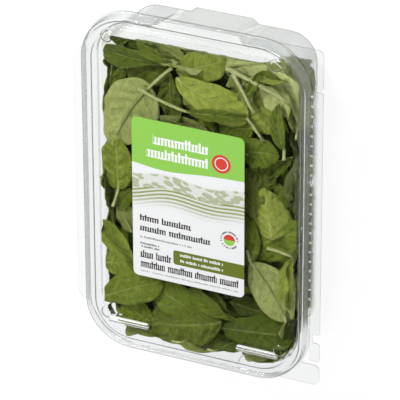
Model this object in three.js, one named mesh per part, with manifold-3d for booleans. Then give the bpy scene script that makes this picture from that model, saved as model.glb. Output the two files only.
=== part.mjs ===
// A shut clear plastic tub of baby spinach leaves, lying on its base with the lid up.
// X runs across the label, Y up the label, Z out of the lid; the origin is under the middle of the base.

import * as THREE from 'three';
import { mergeVertices } from 'three/addons/utils/BufferGeometryUtils.js';
import Module from 'manifold-3d';

const wasm = await Module();
wasm.setup();

// Driving dimensions, in millimetres
const RIM_WIDTH = 190;
const RIM_LENGTH = 296;
const RIM_RADIUS = 40;
const TUB_DEPTH = 56;
const PACK_HEIGHT = 68.5;
const SHEET = 0.9;
const GAP = 0.3;
const CORNER_STEPS = 6;
const HEAP_CORNER_STEPS = 3;

// The tub, in insets from the rim's edge and heights above the base
const WALL_INSET = 9;
const BASE_INSET = 16;
const BASE_ROUNDING = 5;
const SHOULDER_STEP = 1.6;
const SHOULDER_FOOT = TUB_DEPTH - 6;
const SHOULDER_HEAD = TUB_DEPTH - 4;
const FLANGE_EDGE = 1.5;

// The foot on each end wall, narrower and less far out at the base than under the flange
const FOOT_HALF_AT_BASE = 24;
const FOOT_HALF_AT_FLANGE = 35;
const FOOT_SIDE = 4;
const FOOT_PROUD = 3;
const FOOT_HEAD_INSET = 2;
const FOOT_ROUNDING = 1.5;

// The lid, in insets from the rim's edge and drops below its top
const RIM_DRAFT = 0.6;
const EDGE_ROUNDING = 1.6;
const BEAD_END = 2.6;
const CHANNEL_START = 4;
const CHANNEL_END = 8.1;
const CHANNEL_DEPTH = 2.4;
const PANEL_START = 9.5;
const PANEL_EDGE_DROP = 0.3;
const RIB_LENGTH = 36;
const RIB_WIDTH = 5.5;
const RIB_HEIGHT = 2;
const RIB_X = 56;
const RIB_Y = -123.5;
const RIB_SLOPE = 1;
const BUTTON_RADIUS = 5.3;
const BUTTON_HEIGHT = 1.2;
const BUTTON_SLOPE = 0.8;
const BUTTONS = [[70, 133], [-71.8, 130], [75, -118], [-75, -118]];
const PRESSED_SAG = 0.2;
const SMALL_CORNER_STEPS = 4;

// The flange's flaps and the tear strip, which reach past the rim on both long sides
const SIDE_REACH = 10.5;
const LIFT_TAB_ENDS = [-117, 111];
const STRIP_ENDS = [-126.5, 112];
const TOP_FLAP_END = 148;
const BOTTOM_FLAP_START = -130;
const FLAP_RADIUS = 5;
const PLUG_INSET = 0.4;
const NOTCH_ENDS = [-110, -102];
const NOTCH_FLOOR = 2.6;
const NECK_OVERLAP = 4;
const NECK_RADIUS = 0.2;
const STRIP_RADIUS = 1;
const PULL_TAB_RADIUS = 2;
const STRIP_CORNER_STEPS = 3;

// The label
const LABEL_WIDTH = 96;
const LABEL_LENGTH = 142;
const LABEL_RADIUS = 4.5;
const LABEL_THICKNESS = 0.4;
const LABEL_X = -3;
const LABEL_Y = -5.5;

// The heap of leaves, which has settled away from the tub's top end
const HEAP_CLEARANCE = 1.2;
const CORE_MARGIN = 7;
const TOP_END_GAP = 11;
const TOP_END_SLOPE = 0.38;
const SETTLED_ENDS = [35, 60];
const LEAF_THICKNESS = 1.1;
const LEAF_LENGTHS = [44, 74];
const LEAF_STATIONS = [-0.32, 0, 0.16, 0.42, 0.74, 1];
const STALK_HALF = 1.1;
const TOP_LEAVES = { rows: 7, columns: 4, jitter: [0.25, 0.75] };
const BASE_LEAVES = { rows: 5, columns: 3, reachX: 0.8, reachY: 0.85 };
const SIDE_LEAVES = 6;
const END_LEAVES = 3;
const CORNER_MARGIN = 10;
const WALL_LEAF_MARGIN = 4;
const WALL_LEAF_LEAN = 78;
const WALL_LEAF_HEIGHTS = [-4, 8];
const SEED = 20;

// Heights worked out from the driving dimensions
const LID_FLANGE = TUB_DEPTH + GAP;
const LID_INNER = PACK_HEIGHT - RIB_HEIGHT - SHEET;
const RIM_TOP = PACK_HEIGHT - RIB_HEIGHT;

const HALF_WIDTH = RIM_WIDTH / 2;
const HALF_LENGTH = RIM_LENGTH / 2;
const QUARTER = Math.PI / 2;

const MATERIALS = {
  clearPlastic: new THREE.MeshStandardMaterial({
    color: 0xeef2f0, roughness: 0.06, metalness: 0, transparent: true, opacity: 0.3,
  }),
  label: new THREE.MeshStandardMaterial({ color: 0xe3e8d4, roughness: 0.45, metalness: 0 }),
  leaf: new THREE.MeshStandardMaterial({ color: 0x5c7d2e, roughness: 0.5, metalness: 0 }),
};

// Points round a rounded rectangle, anticlockwise; breaks are extra stations on the two short sides
function roundedOutline(halfX, halfY, radius, breaks = [], steps = CORNER_STEPS) {
  const corners = [[1, 1], [-1, 1], [-1, -1], [1, -1]];
  const points = [];
  corners.forEach(([sideX, sideY], index) => {
    for (let step = 0; step <= steps; step += 1) {
      const angle = QUARTER * (index + step / steps);
      points.push([
        sideX * (halfX - radius) + radius * Math.cos(angle),
        sideY * (halfY - radius) + radius * Math.sin(angle),
      ]);
    }
    if (index === 0) breaks.forEach((x) => points.push([-x, halfY]));
    if (index === 2) breaks.forEach((x) => points.push([x, -halfY]));
  });
  return points;
}

// One ring of the pack's outline, drawn in from the rim's edge
function rimRing(inset, z, breaks = [], steps = CORNER_STEPS) {
  const radius = RIM_RADIUS - inset;
  return roundedOutline(HALF_WIDTH - inset, HALF_LENGTH - inset, radius, breaks, steps)
    .map(([x, y]) => [x, y, z]);
}

function centreOf(ring) {
  const sum = ring.reduce((total, point) => total.map((value, axis) => value + point[axis]), [0, 0, 0]);
  return sum.map((value) => value / ring.length);
}

// A closed mesh through a list of rings of equal length, with a fan over the first and the last
function loft(rings) {
  const count = rings[0].length;
  const points = [...rings.flat(), centreOf(rings[0]), centreOf(rings[rings.length - 1])];
  const start = rings.length * count;
  const last = (rings.length - 1) * count;
  const faces = [];
  for (let j = 0; j < count; j += 1) {
    const next = (j + 1) % count;
    faces.push(start, next, j, start + 1, last + j, last + next);
    for (let i = 0; i < rings.length - 1; i += 1) {
      const low = i * count;
      const high = low + count;
      faces.push(low + j, low + next, high + next, low + j, high + next, high + j);
    }
  }
  const geometry = new THREE.BufferGeometry();
  geometry.setAttribute('position', new THREE.Float32BufferAttribute(points.flat(), 3));
  geometry.setIndex(faces);
  return geometry;
}

function toSolid(geometry) {
  geometry.deleteAttribute('normal');
  geometry.deleteAttribute('uv');
  const merged = mergeVertices(geometry, 1e-4);
  return new wasm.Manifold(new wasm.Mesh({
    numProp: 3,
    vertProperties: new Float32Array(merged.attributes.position.array),
    triVerts: new Uint32Array(merged.index.array),
  }));
}

function toMesh(name, solid, material) {
  const { numProp, vertProperties, triVerts } = solid.getMesh();
  const positions = [];
  for (let i = 0; i < vertProperties.length; i += numProp) {
    positions.push(vertProperties[i], vertProperties[i + 1], vertProperties[i + 2]);
  }
  const geometry = new THREE.BufferGeometry();
  geometry.setAttribute('position', new THREE.Float32BufferAttribute(positions, 3));
  geometry.setIndex(Array.from(triVerts));
  geometry.computeVertexNormals();
  const mesh = new THREE.Mesh(geometry, material);
  mesh.name = name;
  return mesh;
}

// The second face of a sheet: a path of [inset, z] points moved to its left by the thickness
function parallelPath(path, thickness) {
  return path.map((point, index) => {
    const before = path[Math.max(index - 1, 0)];
    const after = path[Math.min(index + 1, path.length - 1)];
    const normals = [[before, point], [point, after]]
      .map(([from, to]) => new THREE.Vector2(to[0] - from[0], to[1] - from[1]))
      .filter((edge) => edge.length() > 0)
      .map((edge) => new THREE.Vector2(-edge.y, edge.x).normalize());
    const mean = normals.reduce((sum, normal) => sum.add(normal), new THREE.Vector2()).normalize();
    const shift = thickness / Math.max(mean.dot(normals[normals.length - 1]), 0.5);
    return [point[0] + mean.x * shift, point[1] + mean.y * shift];
  });
}

// A solid bounded by two flat faces, from an outline of [x, y] points
function plate(outline, bottom, top) {
  return toSolid(loft([
    outline.map(([x, y]) => [x, y, bottom]),
    outline.map(([x, y]) => [x, y, top]),
  ]));
}

// A low mound with sloping sides: the outline shrinks by slope over its height
function mound(x, y, halfX, halfY, radius, bottom, top, slope) {
  const ring = (inset, z) => (
    roundedOutline(halfX - inset, halfY - inset, radius - inset, [], SMALL_CORNER_STEPS)
      .map(([dx, dy]) => [x + dx, y + dy, z])
  );
  const middle = (bottom + top) / 2 + PRESSED_SAG;
  return toSolid(loft([ring(0, bottom), ring(slope / 2, middle), ring(slope, top)]));
}

// One ring of the tub's wall, moved out to the feet's faces where it crosses the feet
function tubRing(inset, z, thickness) {
  const share = z / TUB_DEPTH;
  const half = THREE.MathUtils.lerp(FOOT_HALF_AT_BASE, FOOT_HALF_AT_FLANGE, share);
  const faceAtBase = HALF_LENGTH - BASE_INSET + FOOT_PROUD;
  const face = THREE.MathUtils.lerp(faceAtBase, HALF_LENGTH - FOOT_HEAD_INSET, share)
    - Math.max(FOOT_ROUNDING - z, 0) - thickness;
  const ring = rimRing(inset, z, [-half - FOOT_SIDE, -half, half, half + FOOT_SIDE]);
  return ring.map((point) => {
    const [x, y] = point;
    const inFoot = Math.abs(Math.abs(x) - half) < GAP;
    return inFoot ? [x, Math.sign(y) * Math.max(face, Math.abs(y)), z] : point;
  });
}

// The tub: flange, drafted walls, rounded base edge and a broad foot on each end wall
function makeTub() {
  const wall = [
    [BASE_INSET, BASE_ROUNDING],
    [WALL_INSET + SHOULDER_STEP, SHOULDER_FOOT],
    [WALL_INSET, SHOULDER_HEAD],
  ];
  const outside = [
    [BASE_INSET + BASE_ROUNDING, 0],
    [BASE_INSET + FOOT_ROUNDING, FOOT_ROUNDING],
    ...wall,
    [WALL_INSET, TUB_DEPTH - SHEET],
    [-FLANGE_EDGE, TUB_DEPTH - SHEET],
  ];
  const inside = [
    [BASE_INSET + BASE_ROUNDING, SHEET],
    ...wall.map(([inset, z]) => [inset + SHEET, z]),
    [WALL_INSET + SHEET, TUB_DEPTH],
    [-FLANGE_EDGE, TUB_DEPTH],
  ];
  return toSolid(loft([
    ...outside.map(([inset, z]) => tubRing(inset, z, 0)),
    ...inside.reverse().map(([inset, z]) => tubRing(inset, z, SHEET)),
  ]));
}

// The lid: flange, rim wall, bead, channel and flat panel in one sheet
const lidTopPath = [
  [-FLANGE_EDGE, LID_FLANGE + SHEET],
  [0, LID_FLANGE + SHEET],
  [RIM_DRAFT, RIM_TOP - EDGE_ROUNDING],
  [EDGE_ROUNDING, RIM_TOP],
  [BEAD_END, RIM_TOP],
  [CHANNEL_START, RIM_TOP - CHANNEL_DEPTH],
  [CHANNEL_END, RIM_TOP - CHANNEL_DEPTH],
  [PANEL_START, RIM_TOP - PANEL_EDGE_DROP],
  [PANEL_START + EDGE_ROUNDING, RIM_TOP],
];

function makeLidShell() {
  const top = lidTopPath.map(([inset, z]) => rimRing(inset, z));
  const under = parallelPath(lidTopPath, -SHEET)
    .map(([inset, z], index) => rimRing(index === 0 ? -FLANGE_EDGE : inset, index < 1 ? LID_FLANGE : z));
  return toSolid(loft([...under.reverse(), ...top]));
}

// What the rim wall encloses, so that flaps stop at its foot
function rimPlug() {
  return toSolid(loft([
    rimRing(PLUG_INSET, LID_FLANGE - SHEET),
    rimRing(PLUG_INSET, LID_FLANGE + 2 * SHEET),
  ]));
}

// A flange flap between two heights on Y, reaching from inside the rim wall to past the rim
function flap(side, from, to, outerRadius) {
  const halfX = RIM_RADIUS / 2 + SIDE_REACH / 2;
  const middle = side * (HALF_WIDTH + SIDE_REACH - halfX);
  const outline = roundedOutline(halfX, (to - from) / 2, outerRadius, [], SMALL_CORNER_STEPS)
    .map(([x, y]) => [middle + x, (from + to) / 2 + y]);
  return plate(outline, LID_FLANGE, LID_FLANGE + SHEET).subtract(rimPlug());
}

function liftTab() {
  const [bottomEnd, topEnd] = LIFT_TAB_ENDS;
  const radius = SIDE_REACH - STRIP_RADIUS;
  const outline = roundedOutline(SIDE_REACH, (topEnd - bottomEnd) / 2, radius, [], SMALL_CORNER_STEPS)
    .map(([x, y]) => [-HALF_WIDTH + x, (bottomEnd + topEnd) / 2 + y]);
  return plate(outline, LID_FLANGE, LID_FLANGE + SHEET).subtract(rimPlug());
}

// A raised form pressed out of the panel: a mound over a hollow of the same shape
function pressedForm(lid, x, y, halfX, halfY, height, slope) {
  const radius = Math.min(halfX, halfY) - GAP / 2;
  const top = RIM_TOP + height;
  const outer = mound(x, y, halfX, halfY, radius, RIM_TOP - SHEET, top, slope);
  const inner = mound(x, y, halfX - SHEET, halfY - SHEET, radius - SHEET,
    RIM_TOP - 2 * SHEET, top - SHEET, slope);
  return lid.add(outer).subtract(inner);
}

function makeLid() {
  let lid = makeLidShell();
  lid = lid.add(liftTab());
  lid = lid.add(flap(1, STRIP_ENDS[1] + GAP, TOP_FLAP_END, FLAP_RADIUS));
  lid = lid.add(flap(1, -HALF_LENGTH, BOTTOM_FLAP_START, FLAP_RADIUS));
  for (const side of [-1, 1]) {
    lid = pressedForm(lid, side * RIB_X, RIB_Y, RIB_LENGTH / 2, RIB_WIDTH / 2, RIB_HEIGHT, RIB_SLOPE);
  }
  for (const [x, y] of BUTTONS) {
    lid = pressedForm(lid, x, y, BUTTON_RADIUS, BUTTON_RADIUS, BUTTON_HEIGHT, BUTTON_SLOPE);
  }
  return lid;
}

// The tear strip: a long plate outside the rim wall, then a narrow neck beside the notch and a pull tab
function makeTearStrip() {
  const inner = HALF_WIDTH + FLANGE_EDGE + GAP;
  const outer = HALF_WIDTH + SIDE_REACH;
  const piece = (toX, fromY, toY, radius) => {
    const halfX = (toX - inner) / 2;
    const outline = roundedOutline(halfX, (toY - fromY) / 2, radius, [], STRIP_CORNER_STEPS)
      .map(([x, y]) => [inner + halfX + x, (fromY + toY) / 2 + y]);
    return plate(outline, LID_FLANGE, LID_FLANGE + SHEET);
  };
  const [tabEnd, stripEnd] = STRIP_ENDS;
  const [notchFrom, notchTo] = NOTCH_ENDS;
  const neck = piece(inner + NOTCH_FLOOR, notchFrom - NECK_OVERLAP, notchTo + NECK_OVERLAP, NECK_RADIUS);
  return piece(outer, notchTo, stripEnd, STRIP_RADIUS)
    .add(neck)
    .add(piece(outer, tabEnd, notchFrom, PULL_TAB_RADIUS));
}

function makeLabel() {
  const outline = roundedOutline(LABEL_WIDTH / 2, LABEL_LENGTH / 2, LABEL_RADIUS, [], STRIP_CORNER_STEPS)
    .map(([x, y]) => [LABEL_X + x, LABEL_Y + y]);
  return plate(outline, RIM_TOP + GAP, RIM_TOP + GAP + LABEL_THICKNESS);
}

// The same run of numbers between 0 and 1 each time the model is built
function makeRandom(seed) {
  let state = seed;
  return () => {
    state = (state * 1664525 + 1013904223) % 4294967296;
    return state / 4294967296;
  };
}

// One leaf along X: a stalk and an oval blade, cupped and waved, with the same faces above and below
function leafSolid({ length, width, cup, wave, bend, twist }) {
  const sections = LEAF_STATIONS.map((u) => {
    const fullness = u <= 0 ? 0 : Math.sin(Math.PI * u ** 0.8) ** 0.75;
    const half = Math.max(width / 2 * fullness, STALK_HALF);
    const lift = cup * half * (u > 0 ? 1 : 0);
    const sag = -bend * (u - 0.4) ** 2 * length;
    const ripple = wave * Math.sin(u * 9 + twist * 5);
    return [
      [u * length, -half, sag + lift + ripple - twist * half * u],
      [u * length, 0, sag],
      [u * length, half, sag + lift - ripple + twist * half * u],
    ];
  });
  const rings = sections.map((section) => [
    ...section.map(([x, y, z]) => [x, y, z - LEAF_THICKNESS / 2]),
    ...[...section].reverse().map(([x, y, z]) => [x, y, z + LEAF_THICKNESS / 2]),
  ]);
  return toSolid(loft(rings));
}

// The space that the leaves fill, drawn in from the sheet, and further in at the tub's top end
function cavity(margin) {
  const settled = ([x, y, z]) => {
    const slope = TOP_END_SLOPE * (1 - THREE.MathUtils.smoothstep(x, ...SETTLED_ENDS));
    const gap = TOP_END_GAP + slope * (LID_INNER - z);
    return [x, y > 0 ? y * (1 - gap / HALF_LENGTH) : y, z];
  };
  const ring = (inset, z) => (
    rimRing(inset + SHEET + margin, z, [], HEAP_CORNER_STEPS).map(settled)
  );
  return toSolid(loft([
    ring(BASE_INSET + BASE_ROUNDING, SHEET + margin),
    ring(BASE_INSET, SHEET + margin + BASE_ROUNDING),
    ring(WALL_INSET + SHOULDER_STEP + SHEET, SHOULDER_FOOT),
    ring(CHANNEL_END + BEAD_END, LID_INNER - margin),
  ]));
}

function makeLeaves() {
  const random = makeRandom(SEED);
  const between = (low, high) => low + (high - low) * random();
  const heapHalfX = HALF_WIDTH - BASE_INSET;
  const heapHalfY = HALF_LENGTH - BASE_INSET;
  const leaves = [];
  const layLeaf = (x, y, z, tiltX, tiltY) => {
    const length = between(LEAF_LENGTHS[0], LEAF_LENGTHS[1]);
    const leaf = leafSolid({
      length,
      width: length * between(0.5, 0.68),
      cup: between(0.02, 0.14),
      wave: between(0.4, 1.4),
      bend: between(0, 0.05),
      twist: between(-0.1, 0.1),
    });
    const turn = between(0, 360);
    const placed = leaf
      .translate([-length * 0.45, 0, 0])
      .rotate([between(-5, 5), between(-6, 6), turn])
      .rotate([tiltX, tiltY, 0])
      .translate([x, y, z]);
    leaves.push(placed);
  };
  const spread = (index, count) => 2 * (index + 0.5) / count - 1;
  for (let row = 0; row < TOP_LEAVES.rows; row += 1) {
    for (let column = 0; column < TOP_LEAVES.columns; column += 1) {
      const x = (2 * (column + between(...TOP_LEAVES.jitter)) / TOP_LEAVES.columns - 1) * heapHalfX;
      const y = (2 * (row + between(...TOP_LEAVES.jitter)) / TOP_LEAVES.rows - 1) * heapHalfY;
      layLeaf(x, y, LID_INNER - CORE_MARGIN + between(0, 3), 0, 0);
    }
  }
  for (let row = 0; row < BASE_LEAVES.rows; row += 1) {
    for (let column = 0; column < BASE_LEAVES.columns; column += 1) {
      const x = spread(column, BASE_LEAVES.columns) * heapHalfX * BASE_LEAVES.reachX;
      const y = spread(row, BASE_LEAVES.rows) * heapHalfY * BASE_LEAVES.reachY;
      layLeaf(x, y, CORE_MARGIN - between(0, 2), 180, 0);
    }
  }
  const wallMargin = WALL_INSET + CORE_MARGIN + WALL_LEAF_MARGIN;
  const wallHeight = () => TUB_DEPTH / 2 + between(...WALL_LEAF_HEIGHTS);
  for (let i = 0; i < SIDE_LEAVES; i += 1) {
    const y = spread(i, SIDE_LEAVES) * (heapHalfY - CORNER_MARGIN);
    layLeaf(HALF_WIDTH - wallMargin, y, wallHeight(), 0, WALL_LEAF_LEAN);
    layLeaf(wallMargin - HALF_WIDTH, y, wallHeight(), 0, -WALL_LEAF_LEAN);
  }
  for (let i = 0; i < END_LEAVES; i += 1) {
    const x = spread(i, END_LEAVES) * (heapHalfX - CORNER_MARGIN);
    layLeaf(x, HALF_LENGTH - wallMargin - TOP_END_GAP, wallHeight(), -WALL_LEAF_LEAN, 0);
    layLeaf(x, wallMargin - HALF_LENGTH, wallHeight(), WALL_LEAF_LEAN, 0);
  }
  const heap = wasm.Manifold.union([cavity(CORE_MARGIN), ...leaves]).intersect(cavity(HEAP_CLEARANCE));
  return heap.decompose().sort((a, b) => b.volume() - a.volume())[0];
}

const group = new THREE.Group();
group.add(toMesh('tub', makeTub(), MATERIALS.clearPlastic));
group.add(toMesh('lid', makeLid(), MATERIALS.clearPlastic));
group.add(toMesh('tear_strip', makeTearStrip(), MATERIALS.clearPlastic));
group.add(toMesh('label', makeLabel(), MATERIALS.label));
group.add(toMesh('leaves', makeLeaves(), MATERIALS.leaf));

export default group;
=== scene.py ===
import math

import bpy
import numpy as np
from mathutils import Matrix, Vector


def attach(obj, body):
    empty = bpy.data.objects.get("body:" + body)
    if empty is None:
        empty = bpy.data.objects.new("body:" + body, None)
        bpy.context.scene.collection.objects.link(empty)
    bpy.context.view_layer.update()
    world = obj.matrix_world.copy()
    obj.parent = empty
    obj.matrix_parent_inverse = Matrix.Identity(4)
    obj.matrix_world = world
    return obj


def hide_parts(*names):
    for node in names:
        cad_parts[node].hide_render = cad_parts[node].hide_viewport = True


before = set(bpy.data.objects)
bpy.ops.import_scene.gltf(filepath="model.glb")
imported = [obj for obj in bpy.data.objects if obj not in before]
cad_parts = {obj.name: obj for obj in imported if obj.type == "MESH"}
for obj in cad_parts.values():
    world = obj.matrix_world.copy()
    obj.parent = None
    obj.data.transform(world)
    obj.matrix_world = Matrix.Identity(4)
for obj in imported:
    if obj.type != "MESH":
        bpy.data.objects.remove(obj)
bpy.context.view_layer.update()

# The studio
# A pale matt floor, a bright even surround and three broad soft lamps, as for a shop's product picture.
# The camera looks down on the lying pack from the direction in which the picture shows it.
MM = 0.001
CAMERA_TURN = math.radians(24.3)
CAMERA_RISE = math.radians(29.0)
CAMERA_ROLL = math.radians(-0.2)
CAMERA_DISTANCE = 2.772
CAMERA_TARGET = Vector((-8.1, -17.2, 33)) * MM
CAMERA_LENS = 315

toward_camera = Vector((
    math.sin(CAMERA_TURN) * math.cos(CAMERA_RISE),
    math.sin(CAMERA_RISE),
    math.cos(CAMERA_TURN) * math.cos(CAMERA_RISE),
))
level_right = Vector((math.cos(CAMERA_TURN), 0, -math.sin(CAMERA_TURN)))
level_up = toward_camera.cross(level_right)
view_right = level_right * math.cos(CAMERA_ROLL) + level_up * math.sin(CAMERA_ROLL)
view_up = level_up * math.cos(CAMERA_ROLL) - level_right * math.sin(CAMERA_ROLL)


def facing(direction, up):
    side = up.cross(direction).normalized()
    return Matrix((side, direction.cross(side), direction)).transposed().to_4x4()


def add_camera():
    data = bpy.data.cameras.new("camera")
    data.lens = CAMERA_LENS
    data.clip_end = 20
    camera = bpy.data.objects.new("camera", data)
    bpy.context.scene.collection.objects.link(camera)
    turn = Matrix((view_right, view_up, toward_camera)).transposed().to_4x4()
    camera.matrix_world = Matrix.Translation(CAMERA_TARGET + toward_camera * CAMERA_DISTANCE) @ turn
    bpy.context.scene.camera = camera


# Each lamp: its direction across, up and out as the camera sees it, its size in metres and its power
LAMPS = {
    "key_lamp": (-0.85, 0.6, 0.8, 0.45, 32),
    "top_lamp": (-0.56, -0.42, 0.7, 0.5, 11),
    "fill_lamp": (0.9, -0.2, 0.9, 1.4, 3),
}
LAMP_DISTANCE = 1.7


def add_lamp(name, across, height, out, size, power):
    """A square soft lamp that looks at the pack."""
    data = bpy.data.lights.new(name, "AREA")
    data.size = size
    data.energy = power
    lamp = bpy.data.objects.new(name, data)
    bpy.context.scene.collection.objects.link(lamp)
    direction = (view_right * across + view_up * height + toward_camera * out).normalized()
    place = Matrix.Translation(CAMERA_TARGET + direction * LAMP_DISTANCE)
    lamp.matrix_world = place @ facing(direction, view_up)


add_camera()
for lamp_name, lamp_values in LAMPS.items():
    add_lamp(lamp_name, *lamp_values)


class NodeKit:
    """Short forms for adding shader nodes to one tree. A value may be a number, a colour or a socket."""

    def __init__(self, tree):
        self.nodes = tree.nodes
        self.links = tree.links

    def feed(self, socket, value):
        if isinstance(value, tuple):
            socket.default_value = (*value, 1)
        elif isinstance(value, (int, float)):
            socket.default_value = value
        else:
            self.links.new(value, socket)

    def math(self, operation, *values, clamp=False):
        node = self.nodes.new("ShaderNodeMath")
        node.operation = operation
        node.use_clamp = clamp
        for socket, value in zip(node.inputs, values):
            self.feed(socket, value)
        return node.outputs[0]

    def times(self, first, second, clamp=False):
        return self.math("MULTIPLY", first, second, clamp=clamp)

    def plus(self, first, second, clamp=False):
        return self.math("ADD", first, second, clamp=clamp)

    def minus(self, first, second):
        return self.math("SUBTRACT", first, second)

    def mix(self, share, first, second, blend="MIX"):
        node = self.nodes.new("ShaderNodeMix")
        node.data_type = "RGBA"
        node.blend_type = blend
        for index, value in ((0, share), (6, first), (7, second)):
            self.feed(node.inputs[index], value)
        return node.outputs[2]

    def step(self, value, low, high):
        """0 at low and 1 at high, with a smooth change between."""
        node = self.nodes.new("ShaderNodeMapRange")
        node.interpolation_type = "SMOOTHSTEP"
        node.inputs["From Min"].default_value = low
        node.inputs["From Max"].default_value = high
        self.feed(node.inputs["Value"], value)
        return node.outputs["Result"]

    def placed_ramp(self, value, stops, blend="LINEAR"):
        """Colours that blend into one another, each at its own place from 0 to 1."""
        node = self.nodes.new("ShaderNodeValToRGB")
        node.color_ramp.interpolation = blend
        elements = node.color_ramp.elements
        while len(elements) < len(stops):
            elements.new(0.5)
        for element, (place, colour) in zip(elements, stops):
            element.position = place
            element.color = (*colour, 1)
        self.feed(node.inputs["Fac"], value)
        return node.outputs["Color"]

    def ramp(self, value, *colours):
        """Colours that blend into one another at even steps from 0 to 1."""
        last = len(colours) - 1
        return self.placed_ramp(value, [(index / last, colour) for index, colour in enumerate(colours)])

    def noise(self, scale, detail=2):
        node = self.nodes.new("ShaderNodeTexNoise")
        node.inputs["Scale"].default_value = scale
        node.inputs["Detail"].default_value = detail
        return node.outputs["Fac"]

    def split(self, vector):
        """The X, Y and Z sockets of a vector."""
        node = self.nodes.new("ShaderNodeSeparateXYZ")
        self.feed(node.inputs["Vector"], vector)
        return node.outputs

    def bump(self, height, strength, depth):
        """The normal of a relief of this height, at a strength up to 1 and a depth in metres."""
        node = self.nodes.new("ShaderNodeBump")
        node.inputs["Strength"].default_value = strength
        node.inputs["Distance"].default_value = depth
        self.feed(node.inputs["Height"], height)
        return node.outputs["Normal"]


# What glossy faces mirror: heights as shares of straight up, and the brightness there, as of white
# reflector boards between dark gaps and below a dark ceiling
MIRRORED_BANDS = [
    (0.0, 0.9),
    (0.1, 0.9),
    (0.13, 0.05),
    (0.28, 0.05),
    (0.31, 1.5),
    (0.4, 1.5),
    (0.44, 0.05),
]
SURROUND_STRENGTH = 0.5


def add_surround():
    """An even bright surround, which glossy faces see as bright boards and dark gaps."""
    world = bpy.data.worlds.new("bright surround")
    bpy.context.scene.world = world
    world.use_nodes = True
    kit = NodeKit(world.node_tree)
    direction = kit.nodes.new("ShaderNodeTexCoord").outputs["Generated"]
    path = kit.nodes.new("ShaderNodeLightPath")
    greys = [(height, (brightness,) * 3) for height, brightness in MIRRORED_BANDS]
    bands = kit.placed_ramp(kit.split(direction)["Z"], greys)
    mirrored = kit.math("GREATER_THAN", path.outputs["Glossy Depth"], 0.5)
    background = kit.nodes["Background"]
    kit.feed(background.inputs["Color"], kit.mix(mirrored, (1, 1, 1), bands))
    kit.feed(background.inputs["Strength"], SURROUND_STRENGTH)


add_surround()
bpy.context.scene.view_settings.view_transform = "Standard"


def plain_mesh(name, points, faces, material, smooth=True):
    """An object from points in millimetres and faces, with one material."""
    mesh = bpy.data.meshes.new(name)
    mesh.from_pydata((np.asarray(points, dtype=float) * MM).tolist(), [], [list(face) for face in faces])
    mesh.materials.append(material)
    mesh.update()
    if smooth:
        mesh.shade_smooth()
    piece = bpy.data.objects.new(name, mesh)
    bpy.context.scene.collection.objects.link(piece)
    return piece


def new_material(name):
    """A material with its node tree's nodes and links, and its Principled shader."""
    material = bpy.data.materials.new(name)
    material.use_nodes = True
    tree = material.node_tree
    return material, tree.nodes, tree.links, tree.nodes["Principled BSDF"]


FLOOR_REACH = 4000
FLOOR_HEIGHT = -0.3
FLOOR_GREY = 0.1
FLOOR_GLOW = 0.9
MIRRORED_FLOOR_GLOW = 0.5


def floor_material():
    """A matt sheet lit from within like a light table, so that it shows white and shadows stay pale."""
    material, nodes, links, shader = new_material("pale floor")
    shader.inputs["Base Color"].default_value = (FLOOR_GREY, FLOOR_GREY, FLOOR_GREY, 1)
    shader.inputs["Emission Color"].default_value = (1, 1, 1, 1)
    shader.inputs["Roughness"].default_value = 0.7
    path = nodes.new("ShaderNodeLightPath")
    glow = nodes.new("ShaderNodeMapRange")
    glow.inputs["From Max"].default_value = 1
    glow.inputs["To Min"].default_value = FLOOR_GLOW
    glow.inputs["To Max"].default_value = MIRRORED_FLOOR_GLOW
    links.new(path.outputs["Glossy Depth"], glow.inputs["Value"])
    links.new(glow.outputs["Result"], shader.inputs["Emission Strength"])
    grain = nodes.new("ShaderNodeTexNoise")
    grain.inputs["Scale"].default_value = 60
    bump = nodes.new("ShaderNodeBump")
    bump.inputs["Strength"].default_value = 0.02
    links.new(grain.outputs["Fac"], bump.inputs["Height"])
    links.new(bump.outputs["Normal"], shader.inputs["Normal"])
    return material


floor_corners = [(-1, -1), (1, -1), (1, 1), (-1, 1)]
floor = plain_mesh(
    "floor",
    [(x * FLOOR_REACH, y * FLOOR_REACH, FLOOR_HEIGHT) for x, y in floor_corners],
    [(0, 1, 2, 3)],
    floor_material(),
    smooth=False,
)

# The clear sheet
# Tub, lid and tear strip are one clear plastic sheet, softened by heat and drawn over a mould, so bends
# are round and the sheet is faintly uneven. Sections are paths of (inset from the rim's edge, height).
SHEET = 0.45
RIM_HALF_WIDTH = 95
RIM_HALF_LENGTH = 148
RIM_RADIUS = 40
FLANGE_EDGE = 1.5
TUB_TOP = 56
LID_FLANGE = 56.3
RIM_TOP = 66.5
CORNER_STEPS = 22
RIB_CENTRES = [(-56, -123.5), (56, -123.5)]
RIB_HALF = (18, 2.75)
# How the painted highlights along the ribs run: their turn, their wander and their strength
STREAK_TURN = 3.2
STREAK_WANDER = 2.4
STREAK_STRENGTH = 0.75
FACE_TINT = (0.955, 0.965, 0.965)
# Painted shade: the sheet's darkest colour, where it is seen edge-on, for the dark lines along its bends and
# edges
EDGE_PAINTED_SHADE = (0.25, 0.255, 0.25)
EDGE_SHADE_STARTS = 0.55
CLEARING_FROM = 0.5
CLEARING_TO = 0.85
PASSED_LIGHT = (0.97, 0.975, 0.97)
# The matt off-white of the painted highlights on the ribs
RIB_HIGHLIGHT_WHITE = (0.75, 0.76, 0.74)
SHARP_ANGLE = math.radians(50)


def group_of(name, inputs, output):
    """An empty node group with named number inputs and one mask output, and a kit for its nodes."""
    tree = bpy.data.node_groups.new(name, "ShaderNodeTree")
    for label in inputs:
        tree.interface.new_socket(label, in_out="INPUT", socket_type="NodeSocketFloat")
    tree.interface.new_socket(output, in_out="OUTPUT", socket_type="NodeSocketFloat")
    given = tree.nodes.new("NodeGroupInput").outputs
    taken = tree.nodes.new("NodeGroupOutput").inputs[output]
    return tree, NodeKit(tree), given, taken


def place_group(kit, tree, *values):
    node = kit.nodes.new("ShaderNodeGroup")
    node.node_tree = tree
    for socket, value in zip(node.inputs, values):
        kit.feed(socket, value)
    return node.outputs[0]


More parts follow.
